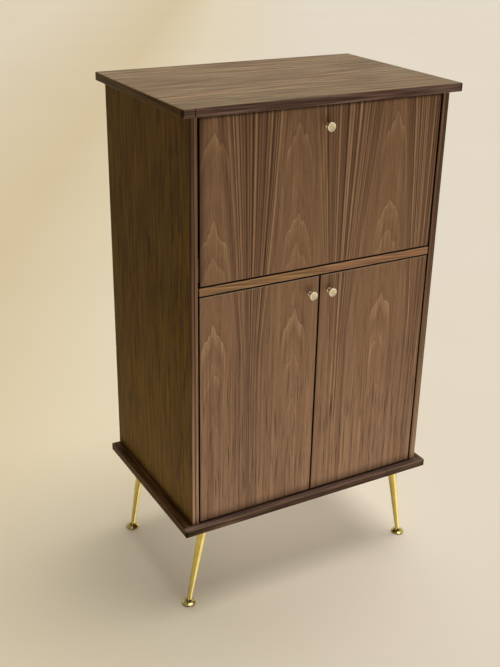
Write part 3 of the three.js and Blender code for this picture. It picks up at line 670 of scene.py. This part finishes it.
# The front strip is paler than the side strips, partly as painted light from the front.
FRONT_LIPPING = ((0.3, "#4e3d36"), (0.5, "#715b52"), (0.7, "#93786c"))
SIDE_LIPPING = ((0.33, "#352310"), (0.5, "#573c1d"), (0.67, "#785733"))
SLAB_WEIGHTS = {"bands": 0.85, "streak": 0.2, "fibre": 0.5, "patch": 0.25, "pore": -0.2}
SLAB_MIDDLE, SLAB_GLOSS = 0.42, (0.36, 0.5)
SLAB_DRIFT = (35, 250, "#f8fbf0", "#fff6ef")
SLAB_SHIFT, LIPPING_LINES = 2.7, ((3.5, 120), 3, 5.2)
BANDS, BAND_WAVES = ((10, 170), 4, SLAB_SHIFT), 0.5
JOINT_WIDTH, JOINT_TONES = 1.3, ((0.4, 0.4), (0.6, 1))
# Painted shade: the strips are darker near each corner.
MITRE_SHADE_WIDTH, MITRE_SHADE_TONE = 4, 0.3
# Painted highlight: the top band of the front edge, and the upper rounded arrises.
EDGE_HIGHLIGHT_FROM, EDGE_HIGHLIGHT_TO = 5, 3
ARRIS_HIGHLIGHT, ARRIS_HIGHLIGHT_TURN = "#a3876e", ((0.1, 0), (0.35, 0.5), (0.85, 0.5), (0.97, 0))


def box_in_mm(node):
    """Lowest and highest corner of a node of the frame, in mm."""
    return [np.array(corner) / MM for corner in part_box(node)]


def slab_edges(put, node, lines, edge_stops, side_stops, joint, highlight_and_lipping):
    """The colour of a slab's edge strips, and the dark line of the joint in the front one.

    Painted shade darkens the strips at their corners, and a painted highlight lies on the front edge's
    top.
    """
    x, y, z = place_in_mm(put)
    low, high = box_in_mm(node)
    # Painted highlight along the top of the front edge.
    upper = put("MapRange", z, high[Z] - EDGE_HIGHLIGHT_FROM, high[Z] - EDGE_HIGHLIGHT_TO, 0, highlight_and_lipping)
    front = put("Mix", upper, put("ValToRGB", lines[0], stops=edge_stops), ARRIS_HIGHLIGHT)
    colour = put("Mix", facing(put, X), front, put("ValToRGB", lines[1], stops=side_stops))
    off = put("Math ABSOLUTE", put("Math SUBTRACT", x, joint))
    seam = ramped(put, off, (0, 2 * JOINT_WIDTH), JOINT_TONES)
    # Painted shade near each corner of the strips.
    corner = put("Math SUBTRACT", put("Math ABSOLUTE", x), y)
    reach = high[X] - low[Y] - MITRE_SHADE_WIDTH
    mitre_shade = put("MapRange", corner, reach - 1, reach, 1, MITRE_SHADE_TONE)
    return tinted(put, colour, seam, mitre_shade), seam


def slab_veneer(node, name, broad_stops, edge_stops, side_stops, joint, highlight_and_lipping):
    """Straight-grained walnut on the broad faces, and darker walnut along the edges.

    If its highlight is above 0, its edge strips show on the broad face outside the case.
    """
    material, put, shader = start_finish(name, IOR=1.5, Specular_IOR_Level=0.03)
    tones = wood_tones(put, X, SLAB_SHIFT)
    tones["bands"] = grain_noise(put, X, *BANDS, Distortion=BAND_WAVES)
    tone = add_tones(put, tones, SLAB_WEIGHTS, SLAB_MIDDLE)
    broad = drifting(put, put("ValToRGB", tone, stops=broad_stops), X, *SLAB_DRIFT)
    lines = [grain_noise(put, along, *LIPPING_LINES) for along in (X, Y)]
    edge, seam = slab_edges(put, node, lines, edge_stops, side_stops, joint, highlight_and_lipping)
    if highlight_and_lipping:
        x, y, _ = place_in_mm(put)
        out = put("Math ABSOLUTE", x)
        beside = put("MapRange", out, SIDE_OUTER, SIDE_OUTER + JOINT_WIDTH)
        broad = put("Mix", beside, broad, put("ValToRGB", lines[1], stops=SIDE_LIPPING))
        ahead = put("MapRange", y, CASE_FRONT, CASE_FRONT - JOINT_WIDTH)
        broad = put("Mix", ahead, broad, put("ValToRGB", lines[0], stops=FRONT_LIPPING))
        broad = put("Mix MULTIPLY", ahead, broad, seam)
    colour = put("Mix", facing(put, Z, 0.6, 0.9), edge, broad)
    # Painted highlight on the upper rounded arrises, broken up by the streaks.
    up = put("SeparateXYZ", put("TexCoord", out="Normal"), out="Z")
    arris_light = put("Math MULTIPLY", put("ValToRGB", up, stops=ARRIS_HIGHLIGHT_TURN), tones["streak"])
    finish_wood(put, shader, put("Mix", arris_light, colour, ARRIS_HIGHLIGHT), tones, SLAB_GLOSS)
    return material


slab_finishes = {node: slab_veneer(node, *values) for node, values in SLABS.items()}
print("slabs:", ", ".join(slab_finishes))

# %% Rail
RAIL_WEIGHTS = {"lines": 1.5, "streak": 0.5, "fibre": 0.3}
RAIL_COLOURS = ((0.1, "#64462f"), (0.4, "#8b6848"), (0.6, "#a07b58"), (0.9, "#c3a17d"))
RAIL_SLOPE, RAIL_LINE_SIZES = math.radians(-6), (200, 4, 4)
# Painted highlight on the rail's upper and lower arrises.
RAIL_ARRIS_HIGHLIGHTS = ((0, 0.7), (0.07, 0.66), (0.14, 0.5), (0.84, 0.5), (0.92, 0.72), (1, 0.82))
RAIL_JOINT = (1, 13)
RAIL_TINTS = ((0, "#fdf8e0"), (0.42, "#fdf8e0"), (0.5, "#8a7c68"), (0.58, "#fff3ea"), (1, "#fff3ea"))


def rail_wood():
    """Pale walnut with fine lines that slope down to the right, and painted highlights on its arrises.

    Two lengths meet near the middle: the left one is yellower, and the joint is a thin dark line.
    """
    material, put, shader = start_finish("walnut_sapwood_rail", IOR=1.5, Specular_IOR_Level=0.35)
    tones = wood_tones(put, X, 4.4)
    spot = put("TexCoord", out="Object")
    sloped = put("Mapping", spot, Rotation=(0, RAIL_SLOPE, 0))
    sloped = put("Mapping", sloped, Scale=[1 / (size * MM) for size in RAIL_LINE_SIZES])
    tones["lines"] = put("TexNoise", sloped, Detail=3)
    colour = put("ValToRGB", add_tones(put, tones, RAIL_WEIGHTS), stops=RAIL_COLOURS)
    low, high = (corner[Z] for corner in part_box("front_rail"))
    # Painted highlight on the arrises.
    shine = ramped(put, put("SeparateXYZ", spot, out="Z"), (low, high), RAIL_ARRIS_HIGHLIGHTS)
    colour = put("Mix SOFT_LIGHT", 1.0, colour, shine)
    colour = tinted(put, colour, ramped(put, place_in_mm(put)[X], RAIL_JOINT, RAIL_TINTS))
    # Painted shade on the rail's top and bottom faces, which line the gaps.
    in_gap = put("ValToRGB", tones["streak"], stops=GAP_SHADE_COLOURS)
    finish_wood(put, shader, put("Mix", facing(put, Z), colour, in_gap), tones)
    return material


dress(rail_wood(), "front_rail")
print("rail: two lengths that meet", sum(RAIL_JOINT) / 2, "mm right of the middle")

# %% [markdown]
# Inside, the deck and the shelf have plain walnut veneer with the grain from left to right. The
# back is a thin board, with walnut towards the inside and bare birch plywood towards the wall,
# which is how such a back is usually bought.

# %% Inner boards and back
INNER_COLOURS = ((0.1, "#4a3322"), (0.4, "#6d5038"), (0.6, "#826347"), (0.9, "#9d7d59"))
BIRCH_COLOURS = ((0.1, "#b8945f"), (0.4, "#cfae7c"), (0.6, "#dcbe8f"), (0.9, "#e8cfa6"))
INNER_WEIGHTS = {"streak": 0.7, "fibre": 0.4, "patch": 0.4, "pore": -0.25}
BACK_WEIGHTS = {"streak": 0.5, "fibre": 0.4, "patch": 0.8, "pore": -0.2}


def inner_board(name, along, shift, weights, gloss, *faces):
    """Quiet veneer for boards that lie inside. A second row of colours is for the face to the wall."""
    material, put, shader = start_finish(name, IOR=1.5, Specular_IOR_Level=0.3)
    tones = wood_tones(put, along, shift)
    tone = add_tones(put, tones, weights)
    colours = [put("ValToRGB", tone, stops=stops) for stops in faces]
    colour = colours[0] if len(colours) == 1 else put("Mix", facing(put, Y, either=False), *colours)
    finish_wood(put, shader, colour, tones, gloss)
    return material


veneer = inner_board("walnut_veneer_inner", X, 9.1, INNER_WEIGHTS, SATIN, INNER_COLOURS)
back = inner_board("plywood_back", Z, 12.9, BACK_WEIGHTS, (0.5, 0.62), INNER_COLOURS, BIRCH_COLOURS)
dress(veneer, "bar_deck", "adjustable_shelf")
dress(back, "back_panel")
print("inner boards: deck, shelf and back")

# %% [markdown]
# The metal parts differ in how they were worked. The legs are polished brass, with faint lines
# left by the wheel and a little tarnish. Hinge leaves are brass aged to dark bronze. Stays, strikes
# and screws are zinc-plated steel. A metal is drawn as fine lines along one way, which shift its
# colour and its roughness a little, and a slow cloud of tarnish. Real lines are finer than 0.1 mm,
# too fine for the picture, so they are drawn 1 to 2 mm wide.

# %% Metals, plastic and felt
# A relief is its strength and its depth in mm. Tones from the first number to the second carry a
# colour and a roughness from one to another.
TARNISH_SIZE = 25
METAL_WEIGHTS, METAL_TONES, METAL_RELIEF = {"lines": 0.6, "cloud": 0.8}, (0.25, 0.75), (0.3, 0.01)
GRAINY_TONES = (0.3, 0.7)
PLASTIC_GRAIN, PLASTIC_RELIEF, PLASTIC_GLOSS = (0.8, 0.8, 0.8), (0.4, 0.05), (0.42, 0.56)
FELT_FIBRE, FELT_RELIEF, FELT_ROUGHNESS = (1, 1, 0.6), (0.8, 0.2), 0.95
BRONZE = ("#4c3a2a", "#735b41"), (0.5, 0.36)


def toned_surface(put, shader, tone, span, colours, gloss, height, relief, centre=None):
    """A colour that follows one tone over a span, a roughness that may follow it too, and relief.

    A centre is a factor and another colour, which shows where the factor is 0.
    """
    colour = put("ValToRGB", tone, stops=zip(span, colours))
    if centre:
        colour = put("Mix", *centre, colour)
    if isinstance(gloss, tuple):
        gloss = put("MapRange", tone, *span, *gloss)
    finish_surface(put, shader, colour, gloss, height, relief)


def worked_metal(name, along, line, colours, gloss):
    """A metal with work lines of one width and length in mm along an axis, and a slow tarnish."""
    material, put, shader = start_finish(name, Metallic=1.0)
    lines = grain_noise(put, along, line, 2)
    cloud = put("TexNoise", scaled_place(put, [TARNISH_SIZE] * 3), Detail=3)
    tone = add_tones(put, {"lines": lines, "cloud": cloud}, METAL_WEIGHTS)
    toned_surface(put, shader, tone, METAL_TONES, colours, gloss, lines, METAL_RELIEF)
    return material


def moulded_plastic():
    """Brown ABS with the spark-eroded grain of its mould, drawn about four times as coarse."""
    material, put, shader = start_finish("brown_moulded_abs", IOR=1.53)
    grain = put("TexNoise", scaled_place(put, PLASTIC_GRAIN), Detail=2)
    colours = ("#35251c", "#46332a")
    toned_surface(put, shader, grain, GRAINY_TONES, colours, PLASTIC_GLOSS, grain, PLASTIC_RELIEF)
    return material


def pressed_felt():
    """Grey wool felt, a tangle of fibres drawn about four times as coarse as it is."""
    material, put, shader = start_finish("grey_pressed_felt", Sheen_Weight=0.4)
    wool = put("TexNoise", scaled_place(put, FELT_FIBRE), Detail=4)
    colours = ("#5d5b58", "#8a8783")
    toned_surface(put, shader, wool, GRAINY_TONES, colours, FELT_ROUGHNESS, wool, FELT_RELIEF)
    return material


polished_brass = worked_metal("polished_brass", Z, (2, 60), ("#c4b26a", "#e1ce84"), (0.2, 0.12))
brass_plate = worked_metal("polished_brass_plate", X, (1.5, 40), ("#d0a552", "#ecc878"), (0.34, 0.22))
bronze = worked_metal("aged_brass_hinge", X, (1.2, 30), *BRONZE)
upright_bronze = worked_metal("aged_brass_hinge_upright", Z, (1.2, 30), *BRONZE)
zinc_steel = worked_metal("zinc_plated_steel", Z, (1, 25), ("#9c9b98", "#c4c3bf"), (0.42, 0.28))
plastic = moulded_plastic()
felt = pressed_felt()

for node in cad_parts:
    if node.endswith("_leaf"):
        dress(upright_bronze if node.startswith("flap") else bronze, node)
    elif node.endswith("_leg_plate"):
        dress(brass_plate, node)
    elif node.endswith(("_strike", "_stay_arm", "_stay_bracket")):
        dress(zinc_steel, node)
    elif node.endswith("_catch"):
        dress(plastic, node)
print("fittings: brass, bronze, steel, plastic and felt")

# %% [markdown]
# The finer pieces are surfaces worked out with numpy. Each is a grid of points, as rows along a
# profile and columns around it, with quads between neighbours. The last column lies on the first
# and a whole row may lie in one point, so merging the doubles closes seams and poles. Every grid
# also gets a UV map: u goes once around, and v is the distance along the profile from its end, so
# that turning marks can follow the piece.

# %% Helpers for surfaces
SAME_POINT = 1e-7
CREASE_ANGLE = math.radians(35)


def softened(corners, cut, steps=5):
    """A profile with rounded corners: each corner is swapped for a parabola that touches both sides.

    The point at share s is (1 - s)^2 start + 2 s (1 - s) corner + s^2 end, where start and end lie
    the cut away from the corner along its sides, or halfway. The first and last points stay.
    """
    corners = np.array(corners, float)
    middle = corners[1:-1]
    share = np.linspace(0, 1, steps)[:, None, None]
    ends = []
    for others in (corners[:-2], corners[2:]):
        away = others - middle
        length = np.linalg.norm(away, axis=1, keepdims=True)
        ends.append(middle + away * np.minimum(cut / length, 0.5))
    bend = (1 - share) ** 2 * ends[0] + 2 * share * (1 - share) * middle + share**2 * ends[1]
    return np.vstack([corners[:1], bend.transpose(1, 0, 2).reshape(-1, 2), corners[-1:]])


def turned(profile, sides):
    """Grid of a turned piece: radius r and height h at angle a give (r cos a, r sin a, h)."""
    angle = np.linspace(0, 2 * np.pi, sides + 1)
    radius, height = np.array(profile, float).T
    across = np.outer(radius, np.cos(angle)), np.outer(radius, np.sin(angle))
    return np.stack([*across, np.outer(height, np.ones_like(angle))], axis=2)


def set_down(grid, place, direction=None):
    """A grid in mm moved to a place, its axis turned to a direction if there is one; in metres."""
    if direction:
        grid = grid @ np.array(Vector(direction).to_track_quat("Z", "Y").to_matrix()).T
    return (grid + np.array(place, float)) * MM


def make_piece(name, grids, material, slot, body, nodes=()):
    """One object of one or more grids in metres, riding on a body, in place of nodes if it has any."""
    points, faces, maps, count = [], [], [], 0
    for grid in grids:
        rows, columns = grid.shape[:2]
        start = (np.arange(rows - 1)[:, None] * columns + np.arange(columns - 1)).ravel() + count
        faces.append(np.stack([start, start + 1, start + columns + 1, start + columns], axis=1))
        steps = np.linalg.norm(np.diff(grid[:, 0], axis=0), axis=1)
        left = steps.sum() - np.concatenate([[0], np.cumsum(steps)])
        maps.append(np.stack(np.meshgrid(np.linspace(0, 1, columns), left), axis=2).reshape(-1, 2))
        points.append(grid.reshape(-1, 3))
        count += rows * columns
    corners = np.vstack(faces)
    mesh = bpy.data.meshes.new(name)
    mesh.from_pydata(np.vstack(points).tolist(), [], corners.tolist())
    mesh.uv_layers.new(name="along").data.foreach_set("uv", np.vstack(maps)[corners.ravel()].ravel())
    work = bmesh.new()
    work.from_mesh(mesh)
    bmesh.ops.remove_doubles(work, verts=work.verts, dist=SAME_POINT)
    work.to_mesh(mesh)
    work.free()
    mesh.shade_smooth()
    mesh.set_sharp_from_angle(angle=CREASE_ANGLE)
    mesh.materials.append(material)
    piece = bpy.data.objects.new(name, mesh)
    bpy.context.scene.collection.objects.link(piece)
    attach(piece, body)
    if nodes:
        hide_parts(*nodes)


def turn_piece(node, profile, ease, place, direction, finish, body, sides, ending="turned"):
    """A turned piece in place of a node. Its finish is a material and a slot; the slot is not used."""
    grid = set_down(turned(softened(profile, ease), sides), place, direction)
    make_piece(f"{node}_{ending}", [grid], *finish, body, (node,))


print("surfaces: ready")

# %% [markdown]
# The slabs are boards with edges rounded by a sanding block. Such a board is a smaller box with
# the same ball rolled over its corners, so every point is a corner of the box plus the radius of
# the ball times a direction. Each broad face closes on its own middle.

# %% Rounded slabs
SLAB_EASE = 2


def rounded_board(low, high, ease, steps=5):
    """Grid of a board with rounded edges: a corner of its core plus ease times a direction.

    The direction at angles a around and b up is (cos a cos b, sin a cos b, sin b). A ring just
    inside each broad face keeps the face flat, and a last row closes it on its middle.
    """
    quarter = np.linspace(0, np.pi / 2, steps)
    around = (quarter + np.arange(4)[:, None] * np.pi / 2).ravel()
    side = np.repeat([(1, 1), (-1, 1), (-1, -1), (1, -1)], steps, axis=0)
    around, side = np.append(around, around[0]), np.vstack([side, side[:1]])
    up = np.concatenate([quarter - np.pi / 2, quarter])
    level = np.repeat([-1, 1], steps)
    half = (high - low) / 2 - ease
    reach = ease * np.cos(up)[:, None]
    x = side[:, 0] * half[0] + reach * np.cos(around)
    y = side[:, 1] * half[1] + reach * np.sin(around)
    z = (level * half[2] + ease * np.sin(up))[:, None] + np.zeros_like(around)
    shell = np.stack([x, y, z], axis=2)
    ring, middle = np.array((0.99, 0.99, 1)), np.array((0, 0, 1))
    rows = [shell[:1] * middle, shell[:1] * ring, shell, shell[-1:] * ring, shell[-1:] * middle]
    return np.vstack(rows) + (low + high) / 2


for node, finish in slab_finishes.items():
    grid = rounded_board(*box_in_mm(node), SLAB_EASE) * MM
    make_piece(f"{node}_rounded", [grid], finish, "dark_walnut", "case", (node,))
print("slabs: rounded by", SLAB_EASE, "mm")

# %% [markdown]
# Each leg is turned from a brass bar: a straight taper down to a thin ankle, a flat foot that
# spreads like a trumpet, and a groove that marks off a collar below the slab. The leg leans
# outwards, the front ones a little more than the back ones, but its foot is flat on the floor. So
# its round sections stay level, and each is shifted sideways in step with its depth.

# %% Legs and glides
LEG_TOP, LEG_BOTTOM = 213.6, 1.7
LEG_TOP_RADIUS, LEG_ANKLE_RADIUS, LEG_FOOT_RADIUS = 11.4, 5.8, 15.8
FOOT_RIM, FLARE_HEIGHT, FLARE_POWER, FLARE_STEPS = 2, 13, 2.4, 24
COLLAR, GROOVE_DEPTH, GROOVE_HEIGHT = 5, 0.7, 1
STUD_RADIUS, STUD_LENGTH = 4, 14
LEG_SPREAD = {"front": 39.4, "back": 35.4}
LEG_TOP_X, LEG_Y = 261.3, {"front": -167.5, "back": 171.5}
GLIDE_RADIUS, GLIDE_THICKNESS = 12, 1.5
FOOT_EASE, COLLAR_EASE, GLIDE_EASE = 0.8, 0.3, 0.4
FINE_SIDES = 64
SIDES = ((-1, "left"), (1, "right"))


def leg_profile():
    """Radius and height up a leg. The foot flares by (1 - share)^2.4 of its spread."""
    share = np.linspace(0, 1, FLARE_STEPS)
    spread = (LEG_FOOT_RADIUS - LEG_ANKLE_RADIUS) * (1 - share) ** FLARE_POWER
    flare = np.stack([LEG_ANKLE_RADIUS + spread, LEG_BOTTOM + FOOT_RIM + share * FLARE_HEIGHT], axis=1)
    foot = softened([(0, LEG_BOTTOM), (LEG_FOOT_RADIUS, LEG_BOTTOM), flare[0], flare[1]], FOOT_EASE)
    collar, waist = LEG_TOP - COLLAR, LEG_TOP_RADIUS - GROOVE_DEPTH
    upper = [flare[-1], (LEG_TOP_RADIUS, collar - GROOVE_HEIGHT), (waist, collar - GROOVE_HEIGHT / 2)]
    upper += [(LEG_TOP_RADIUS, collar), (LEG_TOP_RADIUS, LEG_TOP), (STUD_RADIUS, LEG_TOP)]
    upper += [(STUD_RADIUS, LEG_TOP + STUD_LENGTH), (0, LEG_TOP + STUD_LENGTH)]
    return np.vstack([foot[:-1], flare[1:-1], softened(upper, COLLAR_EASE)])


glide = [(0, 0), (GLIDE_RADIUS, 0), (GLIDE_RADIUS, GLIDE_THICKNESS), (0, GLIDE_THICKNESS)]
for row, y in LEG_Y.items():
    for side, word in SIDES:
        grid = turned(leg_profile(), FINE_SIDES)
        grid[:, :, X] += side * LEG_SPREAD[row] * (LEG_TOP - grid[:, :, Z]) / (LEG_TOP - LEG_BOTTOM)
        grid = set_down(grid, (side * LEG_TOP_X, y, 0))
        node = f"{row}_{word}_leg"
        make_piece(f"{node}_turned", [grid], polished_brass, "polished_brass", "case", (node,))
        node, place = f"{row}_{word}_glide", (side * (LEG_TOP_X + LEG_SPREAD[row]), y, 0)
        turn_piece(node, glide, GLIDE_EASE, place, None, (felt, "grey_felt"), "case", FINE_SIDES, "pad")
print("legs: 4, spread in mm:", LEG_SPREAD)

# %% [markdown]
# The knobs are turned too, and not polished, so the tool has left fine rings on them. The rings follow
# the UV map: v is the distance from the middle of the face. Real rings are about 0.1 mm apart, too fine
# for the picture, so they are drawn ten times as wide. The face is a shallow dish, painted a little
# darker in its middle as shade.

# %% Knobs and screws
KNOB_PROFILE = [(0, 11), (2.3, 11), (2.3, 0), (5.6, 0), (5.6, 1.6), (4.6, 2.3), (4.6, 8.5), (9.5, 11.8)]
KNOB_PROFILE += [(9.5, 15.8), (7.6, 15.8), (6.6, 15.2), (0, 15.2)]
SCREW_PROFILE = [(0, -28), (2, -28), (2, 0), (4, 0), (4, 2.4), (1.3, 2.4), (1.3, 1.2), (0, 1.2)]
KNOB_EASE, SCREW_EASE, COARSE_SIDES = 0.5, 0.3, 32
KNOB_PLACES = {"flap": (0, 1091), "left": (-24.05, 735), "right": (24.05, 735)}
KNOB_FOOT, SCREW_SEAT = -199.7, -181.3
FRONT_BODIES = {"flap": "flap", "left": "left_door", "right": "right_door"}
TURNED_WEIGHTS, TURNED_CLOUD = {"rings": 0.9, "cloud": 0.6}, 8
TURNED_RELIEF = (0.5, 0.03)


def ringed_metal(name, colours, gloss, ring_width, centre, centre_shade):
    """A turned metal whose rings follow v of the UV map, with a painted shade colour up to a centre
    radius.
    """
    material, put, shader = start_finish(name, Metallic=1.0)
    v = put("SeparateXYZ", put("TexCoord", out="UV"), out="Y")
    rings = put("Math DIVIDE", v, ring_width * MM)
    rings = put("TexNoise", rings, Detail=2, noise_dimensions="1D")
    cloud = put("TexNoise", scaled_place(put, [TURNED_CLOUD] * 3), Detail=3)
    tone = add_tones(put, {"rings": rings, "cloud": cloud}, TURNED_WEIGHTS)
    outside = put("MapRange", v, 0.9 * centre * MM, 1.1 * centre * MM)
    middle = (outside, centre_shade)
    toned_surface(put, shader, tone, METAL_TONES, colours, gloss, rings, TURNED_RELIEF, middle)
    return material


# Painted shade: the knob's dish is darker in its middle, and the screw's socket is near black.
knob_brass = ringed_metal("turned_satin_brass", ("#eedfba", "#fffaf0"), (0.34, 0.2), 1.2, 5.4, "#e4d2aa")
screw_steel = ringed_metal("zinc_plated_screw", ("#8f8e8b", "#bdbcb8"), (0.45, 0.3), 0.6, 1.1, "#2c2b2a")

brass, steel = (knob_brass, "satin_brass"), (screw_steel, "zinc_steel")

for word, (x, z) in KNOB_PLACES.items():
    body, node, place = FRONT_BODIES[word], f"{word}_knob", (x, KNOB_FOOT, z)
    turn_piece(node, KNOB_PROFILE, KNOB_EASE, place, (0, -1, 0), brass, body, FINE_SIDES)
    node, place = f"{word}_knob_screw", (x, SCREW_SEAT, z)
    turn_piece(node, SCREW_PROFILE, SCREW_EASE, place, (0, 1, 0), steel, body, COARSE_SIDES)
print("knobs:", len(KNOB_PLACES))

# %% [markdown]
# Shelf pins and stay studs are small turned steel parts that point inwards from the sides. Their
# ends are rounded, because a sharp edge would scratch the shelf.

# %% Shelf pins and stay studs
PIN_PROFILE = [(0, -10), (2.5, -10), (2.5, 9), (0, 9)]
STUD_PROFILE = [(0, -10), (2.4, -10), (2.4, 0.2), (5.5, 0.2), (5.5, 7), (3, 7)]
STUD_PROFILE += [(3, 10.6), (6, 10.6), (6, 13), (0, 13)]
PIN_EASE, STUD_EASE = 0.6, 0.5
PIN_PLACES = {"front": (-139.5, 489), "back": (144.5, 489)}
STUD_PLACE = (-77.28, 904.23)

for side, word in SIDES:
    pins = [(f"shelf_pin_{word}_{row}", yz) for row, yz in PIN_PLACES.items()]
    turned_steel = [(pin, PIN_PROFILE, PIN_EASE, yz) for pin, yz in pins]
    turned_steel.append((f"{word}_stay_stud", STUD_PROFILE, STUD_EASE, STUD_PLACE))
    for node, profile, ease, yz in turned_steel:
        place = (side * SIDE_INNER, *yz)
        turn_piece(node, profile, ease, place, (-side, 0, 0), steel, "case", COARSE_SIDES)
print("pins and studs: 6")

# %% [markdown]
# Every fitting is held by countersunk screws, whose heads end a hair above the metal. A head is a low
# dome with a shallow socket in its middle, painted near black as shade. The heads of one fitting are one
# piece, because they never move apart.

# %% Screw heads
HEAD_PROFILE = [(0, -0.1), (1, -0.1), (1, 0.04), (0.94, 0.12), (0.35, 0.12), (0.3, 0.02), (0, 0.02)]
HEAD_SIDES = 24
LEAF_HEAD, PLATE_HEAD, STRIKE_HEAD, CATCH_HEAD, BRACKET_HEAD = 2, 3, 2, 2.4, 2.2
# Leaves: how far along them the screws are, their line in y, and each metal face with its way out.
LEAF_SCREWS, LEAF_Y = (22, 40), -191.5
DOOR_LEAF_END, FLAP_LEAF_FOOT = 273, 807
DOOR_LEAVES = (("bottom", "case", 235.95, 1), ("bottom", "moving", 237.05, -1))
DOOR_LEAVES += (("top", "case", 774.05, -1), ("top", "moving", 772.95, 1))
FLAP_LEAVES = (("case", 287.05, -1), ("moving", 285.95, 1))
# The others: the screws' distance from the middle, and where the metal face is.
PLATE_SCREW, PLATE_FACE = 22, 213.8
STRIKE_PLACES = {"flap": (0, 1127), "left": (-34, 767), "right": (34, 767)}
STRIKE_SCREW, STRIKE_FACE = 13, -179.8
CATCH_SCREW, CATCH_Y, CATCH_DROP = 16, -171.5, 6.2
BRACKET_SCREW, BRACKET_FACE = 10, -178.7
BRACKET_X, BRACKET_MIDDLE = 268.6, 954.9


def screw_heads(name, places, direction, radius, slot, body):
    """Heads of one radius, in mm, at several places on one fitting."""
    profile = np.array(HEAD_PROFILE) * (radius, 1)
    grids = [set_down(turned(profile, HEAD_SIDES), place, direction) for place in places]
    make_piece(f"{name}_screws", grids, screw_steel, slot, body)


for side, word in SIDES:
    door = f"{word}_door"
    for end, part, z, up in DOOR_LEAVES:
        places = [(side * (DOOR_LEAF_END - run), LEAF_Y, z) for run in LEAF_SCREWS]
        body = "case" if part == "case" else door
        screw_heads(f"{door}_{end}_{part}_leaf", places, (0, 0, up), LEAF_HEAD, "bronze", body)
    for part, x, out in FLAP_LEAVES:
        places = [(side * x, LEAF_Y, FLAP_LEAF_FOOT + run) for run in LEAF_SCREWS]
        body = "case" if part == "case" else "flap"
        screw_heads(f"flap_{word}_{part}_leaf", places, (side * out, 0, 0), LEAF_HEAD, "bronze", body)
    for row, y in LEG_Y.items():
        corners = [(i * PLATE_SCREW, j * PLATE_SCREW) for i in (-1, 1) for j in (-1, 1)]
        places = [(side * LEG_TOP_X + i, y + j, PLATE_FACE) for i, j in corners]
        screw_heads(f"{row}_{word}_leg_plate", places, (0, 0, -1), PLATE_HEAD, "polished_brass", "case")
for word, (x, z) in STRIKE_PLACES.items():
    places = [(x + off, STRIKE_FACE, z) for off in (-STRIKE_SCREW, STRIKE_SCREW)]
    screw_heads(f"{word}_strike", places, (0, 1, 0), STRIKE_HEAD, "zinc_steel", FRONT_BODIES[word])
    places = [(x + off, CATCH_Y, z - CATCH_DROP) for off in (-CATCH_SCREW, CATCH_SCREW)]
    screw_heads(f"{word}_catch", places, (0, 0, -1), CATCH_HEAD, "zinc_steel", "case")
for side, word in SIDES:
    heights = (BRACKET_MIDDLE - BRACKET_SCREW, BRACKET_MIDDLE + BRACKET_SCREW)
    places = [(side * BRACKET_X, BRACKET_FACE, height) for height in heights]
    screw_heads(f"{word}_stay_bracket", places, (0, 1, 0), BRACKET_HEAD, "zinc_steel", "flap")
print("screw heads: on leaves, plates, strikes, catches and brackets")
